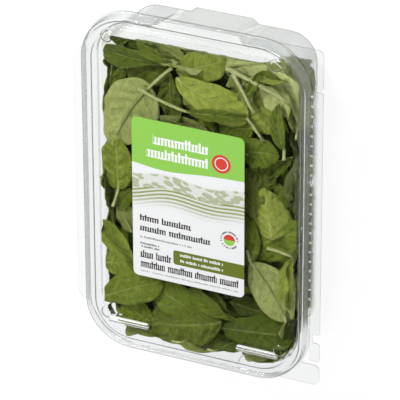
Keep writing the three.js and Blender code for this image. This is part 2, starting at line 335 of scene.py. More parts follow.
def patch_group():
    """A printed patch: a rounded rectangle, or a disc where the half sizes equal the radius."""
    names = ("X", "Y", "Centre X", "Centre Y", "Half X", "Half Y", "Radius")
    tree, kit, given, taken = group_of("printed patch", names, "Mask")
    over = []
    for place, centre, half in (("X", "Centre X", "Half X"), ("Y", "Centre Y", "Half Y")):
        reach = kit.math("ABSOLUTE", kit.minus(given[place], given[centre]))
        straight = kit.minus(given[half], given["Radius"])
        over.append(kit.math("MAXIMUM", kit.minus(reach, straight), 0.0))
    squares = [kit.times(value, value) for value in over]
    distance = kit.math("SQRT", kit.plus(*squares))
    kit.feed(taken, kit.math("LESS_THAN", distance, given["Radius"]))
    return tree


def place_in_mm(kit):
    """How far the shaded point lies across and along the pack, in millimetres."""
    place = kit.split(kit.nodes.new("ShaderNodeTexCoord").outputs["Object"])
    return kit.math("DIVIDE", place["X"], MM), kit.math("DIVIDE", place["Y"], MM)


def rib_painted_highlights(kit):
    """Painted highlights on the lid's stacking ribs: thin bright lines along each rib, where its round faces
    would mirror the lamps.
    """
    patch = patch_group()
    x, y = place_in_mm(kit)
    ribs = [place_group(kit, patch, x, y, *centre, *RIB_HALF, RIB_HALF[1]) for centre in RIB_CENTRES]
    ragged = kit.times(kit.minus(kit.noise(160, 3), 0.5), STREAK_WANDER)
    turn = kit.plus(kit.times(y, STREAK_TURN), ragged)
    lines = kit.step(kit.math("SINE", turn), -0.1, 0.5)
    return kit.times(kit.times(kit.plus(*ribs), lines), STREAK_STRENGTH)


def clear_plastic(name, glancing_clearness, has_ribs=False):
    """Clear sheet, with painted shade where it is seen edge-on; glancing_clearness is how much less it
    mirrors where it is seen along its face.
    """
    material, nodes, links, shader = new_material(name)
    kit = NodeKit(material.node_tree)
    shader.inputs["Transmission Weight"].default_value = 1.0
    shader.inputs["Roughness"].default_value = 0.02
    shader.inputs["IOR"].default_value = 1.4
    links.new(kit.bump(kit.noise(45), 0.03, 0.001), shader.inputs["Normal"])
    clear = nodes.new("ShaderNodeBsdfTransparent")
    kit.feed(clear.inputs["Color"], PASSED_LIGHT)
    slant = nodes.new("ShaderNodeLayerWeight").outputs["Facing"]
    glancing = nodes.new("ShaderNodeMapRange")
    glancing.inputs["From Min"].default_value = CLEARING_FROM
    glancing.inputs["From Max"].default_value = CLEARING_TO
    glancing.inputs["To Max"].default_value = glancing_clearness
    links.new(slant, glancing.inputs["Value"])
    # Painted shade: the sheet's colour darkens where it is seen edge-on
    tint_and_edge_shade = kit.placed_ramp(slant, [(EDGE_SHADE_STARTS, FACE_TINT), (1, EDGE_PAINTED_SHADE)])
    links.new(tint_and_edge_shade, shader.inputs["Base Color"])
    path = nodes.new("ShaderNodeLightPath")
    soft_light = kit.math("MAXIMUM", path.outputs["Is Shadow Ray"], path.outputs["Is Diffuse Ray"])
    mix = nodes.new("ShaderNodeMixShader")
    links.new(kit.math("MAXIMUM", soft_light, glancing.outputs["Result"]), mix.inputs["Fac"])
    links.new(shader.outputs["BSDF"], mix.inputs[1])
    links.new(clear.outputs["BSDF"], mix.inputs[2])
    links.new(mix.outputs["Shader"], nodes["Material Output"].inputs["Surface"])
    # Painted highlights: a matt off-white mixed in along the stacking ribs
    if has_ribs:
        painted_highlight = nodes.new("ShaderNodeBsdfDiffuse")
        kit.feed(painted_highlight.inputs["Color"], RIB_HIGHLIGHT_WHITE)
        with_painted_highlights = nodes.new("ShaderNodeMixShader")
        links.new(rib_painted_highlights(kit), with_painted_highlights.inputs["Fac"])
        links.new(mix.outputs["Shader"], with_painted_highlights.inputs[1])
        links.new(painted_highlight.outputs["BSDF"], with_painted_highlights.inputs[2])
        links.new(with_painted_highlights.outputs["Shader"], nodes["Material Output"].inputs["Surface"])
    return material


def rounded_outline(half_x, half_y, radius, corner_steps=CORNER_STEPS, end_stations=()):
    """Points round a rounded rectangle, anticlockwise from +X, with extra stations on the short sides."""
    points = []
    for index, (side_x, side_y) in enumerate([(1, 1), (-1, 1), (-1, -1), (1, -1)]):
        for step in range(corner_steps + 1):
            angle = math.pi / 2 * (index + step / corner_steps)
            points.append((
                side_x * (half_x - radius) + radius * math.cos(angle),
                side_y * (half_y - radius) + radius * math.sin(angle),
            ))
        if index == 0:
            points += [(-x, half_y) for x in end_stations]
        if index == 2:
            points += [(x, -half_y) for x in end_stations]
    return np.array(points)


def at_height(outline, z):
    """The points of a flat outline, at one height."""
    return np.column_stack([outline, np.full(len(outline), z)])


def rim_ring(inset, z, end_stations=()):
    """The rim's outline drawn in by the inset, at one height."""
    outline = rounded_outline(
        RIM_HALF_WIDTH - inset, RIM_HALF_LENGTH - inset, RIM_RADIUS - inset, end_stations=end_stations
    )
    return at_height(outline, z)


def filleted(path, steps=5):
    """A path whose inner corners, given as (inset, height, radius), are turned into arcs."""
    points = [np.array(path[0][:2], dtype=float)]
    for before, corner, after in zip(path, path[1:], path[2:]):
        here = np.array(corner[:2], dtype=float)
        to_before = np.array(before[:2], dtype=float) - here
        to_after = np.array(after[:2], dtype=float) - here
        unit_before = to_before / np.linalg.norm(to_before)
        unit_after = to_after / np.linalg.norm(to_after)
        half_angle = math.acos(np.clip(unit_before @ unit_after, -1, 1)) / 2
        reach = corner[2] / math.tan(half_angle)
        start = here + unit_before * reach
        end = here + unit_after * reach
        for step in range(steps + 1):
            t = step / steps
            points.append(start * (1 - t) ** 2 + here * 2 * t * (1 - t) + end * t ** 2)
    points.append(np.array(path[-1][:2], dtype=float))
    return np.array(points)


def parallel(path, shift):
    """The path moved to its right by shift, so that two of them bound a sheet."""
    edges = np.diff(path, axis=0)
    edges /= np.linalg.norm(edges, axis=1)[:, None]
    normals = np.column_stack([edges[:, 1], -edges[:, 0]])
    at_points = np.vstack([normals[:1], normals[:-1] + normals[1:], normals[-1:]])
    at_points /= np.linalg.norm(at_points, axis=1)[:, None]
    return path + at_points * shift


def loft(rings):
    """Points and faces of a closed skin over rings of equal length, with a flat face at either end."""
    count = len(rings[0])
    faces = [tuple(reversed(range(count)))]
    for level in range(len(rings) - 1):
        low = level * count
        high = low + count
        for j in range(count):
            k = (j + 1) % count
            faces.append((low + j, low + k, high + k, high + j))
    faces.append(tuple(range((len(rings) - 1) * count, len(rings) * count)))
    return np.vstack(rings), faces


def combine(piece, other, operation):
    """Join or cut a piece by another closed piece, which is used up."""
    modifier = piece.modifiers.new("combine", "BOOLEAN")
    modifier.operation = operation
    modifier.object = other
    modifier.solver = "MANIFOLD"
    bpy.context.view_layer.objects.active = piece
    with bpy.context.temp_override(object=piece, active_object=piece, selected_objects=[piece]):
        bpy.ops.object.modifier_apply(modifier=modifier.name)
    bpy.data.objects.remove(other, do_unlink=True)


def finish_sheet(piece, node):
    """Smooth bends with crisp edges, and the frame's node that the piece stands for."""
    piece.data.shade_smooth()
    piece.data.set_sharp_from_angle(angle=SHARP_ANGLE)
    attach(piece, "root")
    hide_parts(node)


# The tub
# The deep half of the pack: sloping walls, a round base edge, a stacking step under the flange and a
# broad foot at the bottom of each end wall.
FOOT_HALF_WIDTHS = (24, 35)
FOOT_FACES = (135, 146)
FOOT_BLEND = 4
FOOT_ROUNDING = 1.5
FOOT_EDGE_STATIONS = 17
FOOT_MIDDLE = (-16, 16)
FOOT_MIDDLE_STATIONS = 5
tub_outside = [
    (21, 0, 0),
    (16.6, 0, 4.5),
    (10.6, 50, 1.2),
    (9, 51.6, 1.0),
    (9, TUB_TOP - SHEET, 0.9),
    (-FLANGE_EDGE, TUB_TOP - SHEET, 0),
]


def with_feet(ring, thickness):
    """A ring of the wall, moved out to the feet's faces at both ends, which widen and lean out upward."""
    z = ring[0, 2]
    half_width = np.interp(z, (0, TUB_TOP), FOOT_HALF_WIDTHS)
    face = np.interp(z, (0, TUB_TOP), FOOT_FACES) - max(FOOT_ROUNDING - z, 0) - thickness
    share = np.clip((half_width + FOOT_BLEND - np.abs(ring[:, 0])) / FOOT_BLEND, 0, 1)
    reach = np.abs(ring[:, 1])
    at_end = reach > RIM_HALF_LENGTH - RIM_RADIUS
    proud = reach + (np.maximum(face, reach) - reach) * share
    ring[:, 1] = np.where(at_end, np.sign(ring[:, 1]) * proud, ring[:, 1])
    return ring


tub_plastic = clear_plastic("clear tub plastic", glancing_clearness=1.0)


def make_tub():
    """A closed skin over rings up the outer face and back down the inner one."""
    beside = np.linspace(FOOT_HALF_WIDTHS[0] - 1, FOOT_HALF_WIDTHS[1] + FOOT_BLEND, FOOT_EDGE_STATIONS)
    between = np.linspace(*FOOT_MIDDLE, FOOT_MIDDLE_STATIONS)
    stations = np.concatenate([-beside[::-1], between, beside])
    outside = filleted(tub_outside)
    inside = parallel(outside, SHEET)
    inside[0, 1] = SHEET
    inside[-1] = (-FLANGE_EDGE, TUB_TOP)
    steps = [with_feet(rim_ring(inset, z, stations), 0) for inset, z in outside]
    steps += [with_feet(rim_ring(inset, z, stations), SHEET) for inset, z in inside[::-1]]
    points, faces = loft(steps)
    tub = plain_mesh("tub_sheet", points, faces, tub_plastic)
    finish_sheet(tub, "tub")


make_tub()

# The lid
# A shallow tray the other way up: rim wall, round bead, channel and flat panel, with two stacking ribs
# and four snap buttons pressed out of it, a lift tab on the left and flaps at the right corners.
SIDE_REACH = 10.5
LIFT_TAB = (-117, 111)
TOP_FLAP = (112.3, 148)
BOTTOM_FLAP = (-148, -130)
RIB_HEIGHT = 2.0
BUTTON_CENTRES = [(70, 133), (-71.8, 130), (75, -118), (-75, -118)]
BUTTON_RADIUS = 5.3
BUTTON_HEIGHT = 1.2
BUTTON_SLOPE = 1.4
FLAP_WIDTH = 50
FLAP_RADIUS = 5
CUT_HEIGHTS = (LID_FLANGE - 1, LID_FLANGE + 2)
plastic = clear_plastic("clear plastic", glancing_clearness=0.3, has_ribs=True)
lid_top = [
    (-FLANGE_EDGE, LID_FLANGE + SHEET, 0),
    (0, LID_FLANGE + SHEET, 0.6),
    (0.7, RIM_TOP, 1.5),
    (3.1, RIM_TOP, 0.8),
    (4.5, RIM_TOP - 2.4, 0.7),
    (7.8, RIM_TOP - 2.4, 0.7),
    (9.8, RIM_TOP, 1.0),
    (16, RIM_TOP, 0),
]


def pressed_form(lid, centre, half_x, half_y, radius, height, slope):
    """A low raised form in the panel: a mound joined on and the same mound cut out below it."""
    for grow, drop, operation in ((0, 0, "UNION"), (SHEET, SHEET, "DIFFERENCE")):
        rings = []
        turns = np.linspace(0, math.pi / 2, 7)
        profile = [(0, -SHEET * 1.5)] + [(slope * (1 - math.cos(t)), height * math.sin(t)) for t in turns]
        for inset, z in profile:
            outline = rounded_outline(
                half_x - grow - inset, half_y - grow - inset, radius - grow - inset, corner_steps=10
            )
            rings.append(at_height(outline + centre, RIM_TOP + z - drop))
        combine(lid, plain_mesh("pressing", *loft(rings), plastic), operation)


def flat_plate(name, x_ends, y_ends, radius, corner_steps):
    """A flat rounded piece of sheet at the flange's height, between its ends across and along."""
    half_x, half_y = ((high - low) / 2 for low, high in (x_ends, y_ends))
    centre = [(low + high) / 2 for low, high in (x_ends, y_ends)]
    outline = rounded_outline(half_x, half_y, radius, corner_steps=corner_steps) + centre
    rings = [at_height(outline, z) for z in (LID_FLANGE, LID_FLANGE + SHEET)]
    return plain_mesh(name, *loft(rings), plastic)


def add_flap(lid, x_ends, y_ends, radius):
    """A flat flap of the flange that stops at the foot of the rim wall."""
    flap = flat_plate("flap", x_ends, y_ends, radius, corner_steps=8)
    plug = plain_mesh("plug", *loft([rim_ring(0.3, z) for z in CUT_HEIGHTS]), plastic)
    combine(flap, plug, "DIFFERENCE")
    combine(lid, flap, "UNION")


def make_lid():
    """A closed skin over rings from under the flange to the panel and back out over the top."""
    top = filleted(lid_top)
    under = parallel(top, SHEET)
    under[0] = (-FLANGE_EDGE, LID_FLANGE)
    rings = [rim_ring(inset, z) for inset, z in under[::-1]]
    rings += [rim_ring(inset, z) for inset, z in top]
    lid = plain_mesh("lid_sheet", *loft(rings), plastic)
    far = RIM_HALF_WIDTH + SIDE_REACH
    add_flap(lid, (-far, -RIM_HALF_WIDTH + SIDE_REACH), LIFT_TAB, SIDE_REACH - 1)
    for flap_ends in (TOP_FLAP, BOTTOM_FLAP):
        add_flap(lid, (far - FLAP_WIDTH, far), flap_ends, FLAP_RADIUS)
    for centre in RIB_CENTRES:
        pressed_form(lid, centre, *RIB_HALF, RIB_HALF[1] - 0.05, RIB_HEIGHT, RIB_HALF[1] - 1)
    button = (BUTTON_RADIUS, BUTTON_RADIUS, BUTTON_RADIUS - 0.05, BUTTON_HEIGHT, BUTTON_SLOPE)
    for centre in BUTTON_CENTRES:
        pressed_form(lid, centre, *button)
    finish_sheet(lid, "lid")


make_lid()

# The tear strip
# The strip that is torn off to open the pack: a narrow band of the same sheet along the right side, with
# a notch above its rounded pull tab. Needles pierced its seam; small raised off-white rings round the holes
# are painted glints of their edges.
STRIP_INNER = 96.6
STRIP_OUTER = 105.5
STRIP_ENDS = (-102, 112)
PULL_TAB = (-126.5, -110)
NOTCH_WIDTH = 2.8
NECK_OVERLAP = 4
STRIP_STEPS = 6
HOLE_PITCH = 8.5
HOLE_RADIUS = 0.7
HOLE_X = 96.4
BURR_RADIUS = 0.95
BURR_HEIGHT = 0.5
BURR_SIDES = 12
# The off-white of the painted glints on the rings round the seam's holes
BURR_PAINTED_GLINTS = [(0.6, 0.62, 0.58), (0.9, 0.91, 0.88)]


def make_tear_strip():
    """The band, its pull tab and the narrow neck between them, pierced along the seam."""
    across = (STRIP_INNER, STRIP_OUTER)
    neck_across = (STRIP_INNER, STRIP_INNER + NOTCH_WIDTH)
    neck_ends = (PULL_TAB[1] - NECK_OVERLAP, STRIP_ENDS[0] + NECK_OVERLAP)
    strip = flat_plate("tear_strip_sheet", across, STRIP_ENDS, 1, STRIP_STEPS)
    combine(strip, flat_plate("neck", neck_across, neck_ends, 0.2, STRIP_STEPS), "UNION")
    combine(strip, flat_plate("pull_tab", across, PULL_TAB, 2, STRIP_STEPS), "UNION")
    for y in hole_rows:
        outline = rounded_outline(HOLE_RADIUS, HOLE_RADIUS, HOLE_RADIUS * 0.99, corner_steps=3) + (HOLE_X, y)
        needle = plain_mesh("hole", *loft([at_height(outline, z) for z in CUT_HEIGHTS]), plastic)
        combine(strip, needle, "DIFFERENCE")
    finish_sheet(strip, "tear_strip")


def hole_rim_glint_plastic():
    """Off-white satin for the rings round the seam's holes: painted glints of the holes' edges."""
    material, nodes, links, shader = new_material("hole rim painted glints")
    kit = NodeKit(material.node_tree)
    shader.inputs["Roughness"].default_value = 0.35
    # Painted glints: a bright off-white that varies finely
    links.new(kit.ramp(kit.noise(900), *BURR_PAINTED_GLINTS), shader.inputs["Base Color"])
    return material


def make_burrs():
    """The raised ring round each pierced hole, lying on the sheet."""
    profile = [
        (HOLE_RADIUS, 0),
        (BURR_RADIUS, 0),
        (BURR_RADIUS - 0.1, 0.3),
        (BURR_RADIUS - 0.3, BURR_HEIGHT),
        (HOLE_RADIUS - 0.15, BURR_HEIGHT * 0.8),
    ]
    angles = np.linspace(0, 2 * math.pi, BURR_SIDES, endpoint=False)
    points = []
    faces = []
    for y in hole_rows:
        start = len(points)
        for angle in angles:
            for radius, height in profile:
                points.append((
                    HOLE_X + radius * math.cos(angle),
                    y + radius * math.sin(angle),
                    LID_FLANGE + SHEET + height,
                ))
        for i in range(len(angles)):
            for j in range(len(profile)):
                here = start + i * len(profile)
                ahead = start + (i + 1) % len(angles) * len(profile)
                k = (j + 1) % len(profile)
                faces.append((here + j, ahead + j, ahead + k, here + k))
    burrs = plain_mesh("seam_hole_rims", points, faces, hole_rim_glint_plastic())
    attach(burrs, "root")


hole_rows = np.arange(STRIP_ENDS[1] - HOLE_PITCH / 2, STRIP_ENDS[0], -HOLE_PITCH)
make_tear_strip()
make_burrs()

# The leaves
# Some hundreds of baby spinach leaves, pressed loosely together: each is a thin oval blade with a sunken
# midrib, side veins, puckers between them, a wavy edge and a pale round stalk. They settled away from the
# pack's top end. The leaves that show through the lid are listed one by one, and the rest are drawn at
# random.
LEAF_THICKNESS = 0.4
LEAF_CEILING = RIM_TOP - SHEET - 0.9
LEAF_FLOOR = 1.6
WALL_CLEARANCE = 0.6
WALL_HEIGHTS = [0, 1.5, 5, 50, 52, TUB_TOP]
WALL_INSETS = [22, 18.6, 16.8, 11.2, 9.8, 9.8]
TOP_GAP = 11
TOP_GAP_SLOPE = 0.38
SETTLED_ENDS = (35, 60)
SETTLED_LESS = 0.5
SETTLED_LOOSELY = 3
LEFT_GAP = 5
VEIN_PAIRS = 6
VEIN_SLANT = 1.5
EDGE_WAVE = 0.025
STALK_SIDES = 7
STALK_FLATNESS = 0.8
PICTURE_SIZE = 400
SENSOR_WIDTH = 36
LABEL_CENTRE = (-3, -5.5)
LABEL_HALF = (48, 71)
random = np.random.default_rng(11)


def wall_inset(z):
    """How far the tub's inner face lies inside the rim's edge at a height."""
    return np.interp(z, WALL_HEIGHTS, WALL_INSETS) + WALL_CLEARANCE


def top_end(z, x):
    """Where the leaves stop toward the pack's top end: less far down at the right side."""
    t = np.clip((x - SETTLED_ENDS[0]) / (SETTLED_ENDS[1] - SETTLED_ENDS[0]), 0, 1)
    slope = TOP_GAP_SLOPE * (1 - SETTLED_LESS * t * t * (3 - 2 * t))
    return RIM_HALF_LENGTH - wall_inset(z) - TOP_GAP - (RIM_TOP - z) * slope


def heap_ring(inset, z):
    """An outline of the heap at a height: the rim's own, drawn in toward the top end."""
    ring = rim_ring(inset, z)
    short = top_end(z, ring[:, 0]) / (RIM_HALF_LENGTH - wall_inset(z))
    ring[:, 1] *= np.where(ring[:, 1] > 0, short, 1)
    return ring


def pressed_inside(points):
    """Points pushed back inside the pack, as leaves flatten against the sheet."""
    points = points.copy()
    points[..., 2] = np.clip(points[..., 2], LEAF_FLOOR, LEAF_CEILING)
    points[..., 1] = np.minimum(points[..., 1], top_end(points[..., 2], points[..., 0]) + SETTLED_LOOSELY)
    left_gap = LEFT_GAP * points[..., 2] / RIM_TOP
    points[..., 0] = np.maximum(points[..., 0], wall_inset(points[..., 2]) + left_gap - RIM_HALF_WIDTH)
    inset = wall_inset(points[..., 2])
    half_x = RIM_HALF_WIDTH - inset
    half_y = RIM_HALF_LENGTH - inset
    radius = RIM_RADIUS - inset
    over_x = np.maximum(np.abs(points[..., 0]) - (half_x - radius), 0)
    over_y = np.maximum(np.abs(points[..., 1]) - (half_y - radius), 0)
    distance = np.maximum(np.hypot(over_x, over_y), 1e-6)
    pull = np.where(distance > radius, 1 - radius / distance, 0)
    points[..., 0] -= np.sign(points[..., 0]) * over_x * pull
    points[..., 1] -= np.sign(points[..., 1]) * over_y * pull
    return points


def leaf_outline(along, width, shape):
    """Half the blade's width at each station along it."""
    a, b = shape["base_fullness"], shape["tip_fullness"]
    peak = (a / (a + b)) ** a * (b / (a + b)) ** b
    half = width / 2 * along ** a * (1 - along) ** b / peak
    half = half * (1 + EDGE_WAVE * np.sin(along * 17 + shape["phase"] * 9))
    notches = np.abs((along * shape["lobe_count"]) % 1 - 0.5) * 2
    half = half * (1 - shape["lobes"] * notches * (along > 0.1))
    return np.maximum(half, 0.4)


def blade_grid(length, width, rows, columns, shape):
    """The middle surface of one blade along X, as a grid of points with its places along and across."""
    even = np.linspace(0, 1, rows)
    along = (1 - np.cos(even * math.pi)) / 4 + even / 2
    side = np.linspace(-1, 1, columns)
    across = np.sign(side) * np.abs(side) ** 1.2
    half = leaf_outline(along, width, shape)
    heading = shape["curve"] * (along - 0.5)
    pitch = shape["bend"] * (along - 0.5) * 2 + shape["tip_curl"] * np.maximum(along - 0.7, 0) * 4
    step = np.diff(along, prepend=0) * length
    level = np.cos(pitch)
    forward = np.column_stack([level * np.cos(heading), level * np.sin(heading), -np.sin(pitch)])
    centre = np.cumsum(forward * step[:, None], axis=0)
    centre[:, 1:] -= np.outer(centre[:, 0] / centre[-1, 0], centre[-1, 1:])
    centre[:, 0] *= length / centre[-1, 0]
    left = np.column_stack([-np.sin(heading), np.cos(heading), np.zeros(rows)])
    normal = np.cross(forward, left)
    twist = (shape["twist"] * (along - 0.4))[:, None]
    spun_left = left * np.cos(twist) + normal * np.sin(twist)
    spun_up = normal * np.cos(twist) - left * np.sin(twist)
    signed = half[:, None] * across[None, :]
    distance = np.abs(signed)
    share = np.abs(across[None, :])
    fold = shape["fold"] * (1 - 0.35 * along)[:, None]
    height = distance * np.sin(fold) - shape["cup"] * distance ** 2 / (width / 2)
    side_shift = np.where(across > 0, 0, 0.4)[None, :]
    ripple_turn = (shape["waves"] + side_shift) * along[:, None] + shape["phase"] + side_shift
    height += shape["ruffle"] * np.sin(2 * math.pi * ripple_turn) * share ** 2.2
    vein_turn = VEIN_PAIRS * along[:, None] - VEIN_SLANT * share ** 1.3
    height -= shape["quilt"] * np.cos(2 * math.pi * vein_turn) * np.sin(math.pi * share) ** 0.7
    length_wave = np.sin(along[:, None] * length / 3.1 + shape["phase"] * 20 + across[None, :] * 2)
    width_wave = np.sin(signed / 2.3 + shape["phase"] * 13 + along[:, None] * 5)
    height += shape["pucker"] * length_wave * width_wave * (1 - np.exp(-(distance / 2.5) ** 2))
    height -= 0.5 * np.exp(-(distance / 1.1) ** 2)
    points = (
        centre[:, None, :]
        + spun_left[:, None, :] * (signed * np.cos(fold))[..., None]
        + spun_up[:, None, :] * height[..., None]
    )
    places = np.stack(np.broadcast_arrays(along[:, None], across[None, :]), axis=-1)
    return points, places


def leaf_shape(draw, **given):
    """The form of one leaf, drawn at random round a plain baby leaf unless a value is given."""
    shape = {
        "base_fullness": draw.uniform(0.5, 0.75),
        "tip_fullness": draw.uniform(0.42, 0.62),
        "lobes": 0.0,
        "lobe_count": 3.0,
        "curve": draw.uniform(-0.5, 0.5),
        "bend": draw.uniform(-0.15, 0.3),
        "tip_curl": draw.uniform(-0.2, 0.35),
        "twist": draw.uniform(-0.5, 0.5),
        "fold": draw.uniform(-0.15, 0.4),
        "cup": draw.uniform(-0.1, 0.3),
        "waves": draw.uniform(1.3, 2.8),
        "phase": draw.uniform(0, 1),
        "ruffle": draw.uniform(0.6, 2.0),
        "quilt": draw.uniform(0.35, 0.8),
        "pucker": draw.uniform(0.2, 0.6),
    }
    shape.update(given)
    return shape


class LeafPile:
    """Collects the points, faces and surface values of many leaves for one mesh."""

    def __init__(self):
        self.points = []
        self.faces = []
        self.places = []
        self.looks = []
        self.count = 0

    def add(self, points, faces, places, look):
        self.faces += [tuple(self.count + index for index in face) for face in faces]
        self.points.append(points)
        self.places.append(places)
        self.looks.append(np.tile(look, (len(points), 1)))
        self.count += len(points)

    def build(self, name, material):
        piece = plain_mesh(name, np.vstack(self.points), self.faces, material)
        for layer, values in (("leaf_place", self.places), ("leaf_look", self.looks)):
            attribute = piece.data.attributes.new(layer, "FLOAT_VECTOR", "POINT")
            attribute.data.foreach_set("vector", np.vstack(values).astype(np.float32).ravel())
        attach(piece, "root")


def grid_normals(points):
    """The unit normal at each point of a grid."""
    along = np.gradient(points, axis=0)
    across = np.gradient(points, axis=1)
    normals = np.cross(along, across)
    return normals / np.maximum(np.linalg.norm(normals, axis=-1, keepdims=True), 1e-9)


def add_blade(pile, points, places, look):
    """A blade of two faces and an edge. The third value of a place is 0 above and 1 below."""
    rows, columns = points.shape[:2]
    normals = grid_normals(points) * LEAF_THICKNESS / 2
    upper = (points + normals).reshape(-1, 3)
    lower = (points - normals).reshape(-1, 3)
    index = np.arange(rows * columns).reshape(rows, columns)
    low = index + rows * columns
    faces = []
    for i in range(rows - 1):
        for j in range(columns - 1):
            faces.append((index[i, j], index[i + 1, j], index[i + 1, j + 1], index[i, j + 1]))
            faces.append((low[i, j], low[i, j + 1], low[i + 1, j + 1], low[i + 1, j]))
        for j, turn in ((0, 1), (columns - 1, -1)):
            edge = (index[i, j], low[i, j], low[i + 1, j], index[i + 1, j])
            faces.append(edge[::turn])
    for j in range(columns - 1):
        for i, turn in ((0, -1), (rows - 1, 1)):
            edge = (index[i, j], low[i, j], low[i, j + 1], index[i, j + 1])
            faces.append(edge[::turn])
    both = np.vstack([at_height(places.reshape(-1, 2), underside) for underside in (0.0, 1.0)])
    pile.add(np.vstack([upper, lower]), faces, both, look)


def add_stalk(pile, route, radii, shares, look, sides=STALK_SIDES):
    """A round tapering stalk; its shares run from -1 at the cut end to 1 at the blade's tip."""
    tangents = np.gradient(route, axis=0)
    tangents /= np.linalg.norm(tangents, axis=1)[:, None]
    helper = np.array([0.0, 0.0, 1.0])
    if abs(tangents[0] @ helper) > 0.9:
        helper = np.array([1.0, 0.0, 0.0])
    side = np.cross(tangents, helper)
    side /= np.linalg.norm(side, axis=1)[:, None]
    up = np.cross(side, tangents)
    angles = np.linspace(0, 2 * math.pi, sides, endpoint=False)
    rings = (
        route[:, None, :]
        + side[:, None, :] * (np.cos(angles) * radii[:, None])[..., None]
        + up[:, None, :] * (np.sin(angles) * radii[:, None] * STALK_FLATNESS)[..., None]
    )
    points, faces = loft(list(rings))
    count = len(points)
    places = np.column_stack([np.repeat(shares, sides), np.zeros(count), np.full(count, 2.0)])
    pile.add(points, faces, places, look)


def lay_leaf(pile, base, tip, width, face_up, shape, look, end=None, radius=1.0, rows=14, columns=9):
    """A leaf from its blade's base to its tip, upper face toward face_up, with a stalk to end if given."""
    base = np.array(base, dtype=float)
    tip = np.array(tip, dtype=float)
    length = np.linalg.norm(tip - base)
    forward = (tip - base) / length
    up = np.array(face_up, dtype=float)
    up -= forward * (up @ forward)
    up /= np.linalg.norm(up)
    left = np.cross(up, forward)
    points, places = blade_grid(length, width, rows, columns, shape)
    points = pressed_inside(points @ np.vstack([forward, left, up]) + base)
    add_blade(pile, points, places, look)
    middle = columns // 2
    rib = points[:, middle] - grid_normals(points)[:, middle] * LEAF_THICKNESS * 0.9
    rib = rib[: int(rows * 0.85) : max(rows // 8, 1)]
    shares = np.linspace(0.05, 0.85, len(rib))
    radii = radius * np.interp(shares, [0, 0.3, 0.85], [0.9, 0.6, 0.2])
    if end is not None:
        t = np.linspace(0, 1, 7)[:-1, None]
        end = np.array(end, dtype=float)
        control = (base + end) / 2 * 0.65 + (base - forward * np.linalg.norm(base - end) * 0.4) * 0.35
        free = end * (1 - t) ** 2 + control * 2 * t * (1 - t) + rib[0] * t ** 2
        rib = np.vstack([pressed_inside(free), rib])
        shares = np.concatenate([t[:, 0] - 1, shares])
        radii = np.concatenate([np.interp(t[:, 0], [0, 0.15, 1], [1.15, 1.0, 0.95]) * radius, radii])
    add_stalk(pile, rib, radii, shares, look)


# Colours of the upper face, the lower face and the stalk, each from its dark to its light leaves
UPPER_GREENS = [(0.04, 0.08, 0.002), (0.2, 0.28, 0.014), (0.52, 0.6, 0.1)]
UPPER_NET = (0.36, 0.42, 0.08)
UPPER_VEIN = (0.52, 0.58, 0.18)
LOWER_GREENS = [(0.19, 0.25, 0.03), (0.4, 0.46, 0.11), (0.74, 0.8, 0.29)]
LOWER_NET = (0.2, 0.25, 0.05)
LOWER_VEIN = (0.22, 0.3, 0.06)
STALK_GREENS = [(0.32, 0.42, 0.06), (0.95, 0.97, 0.45)]
VEIN_SHARE = 0.45


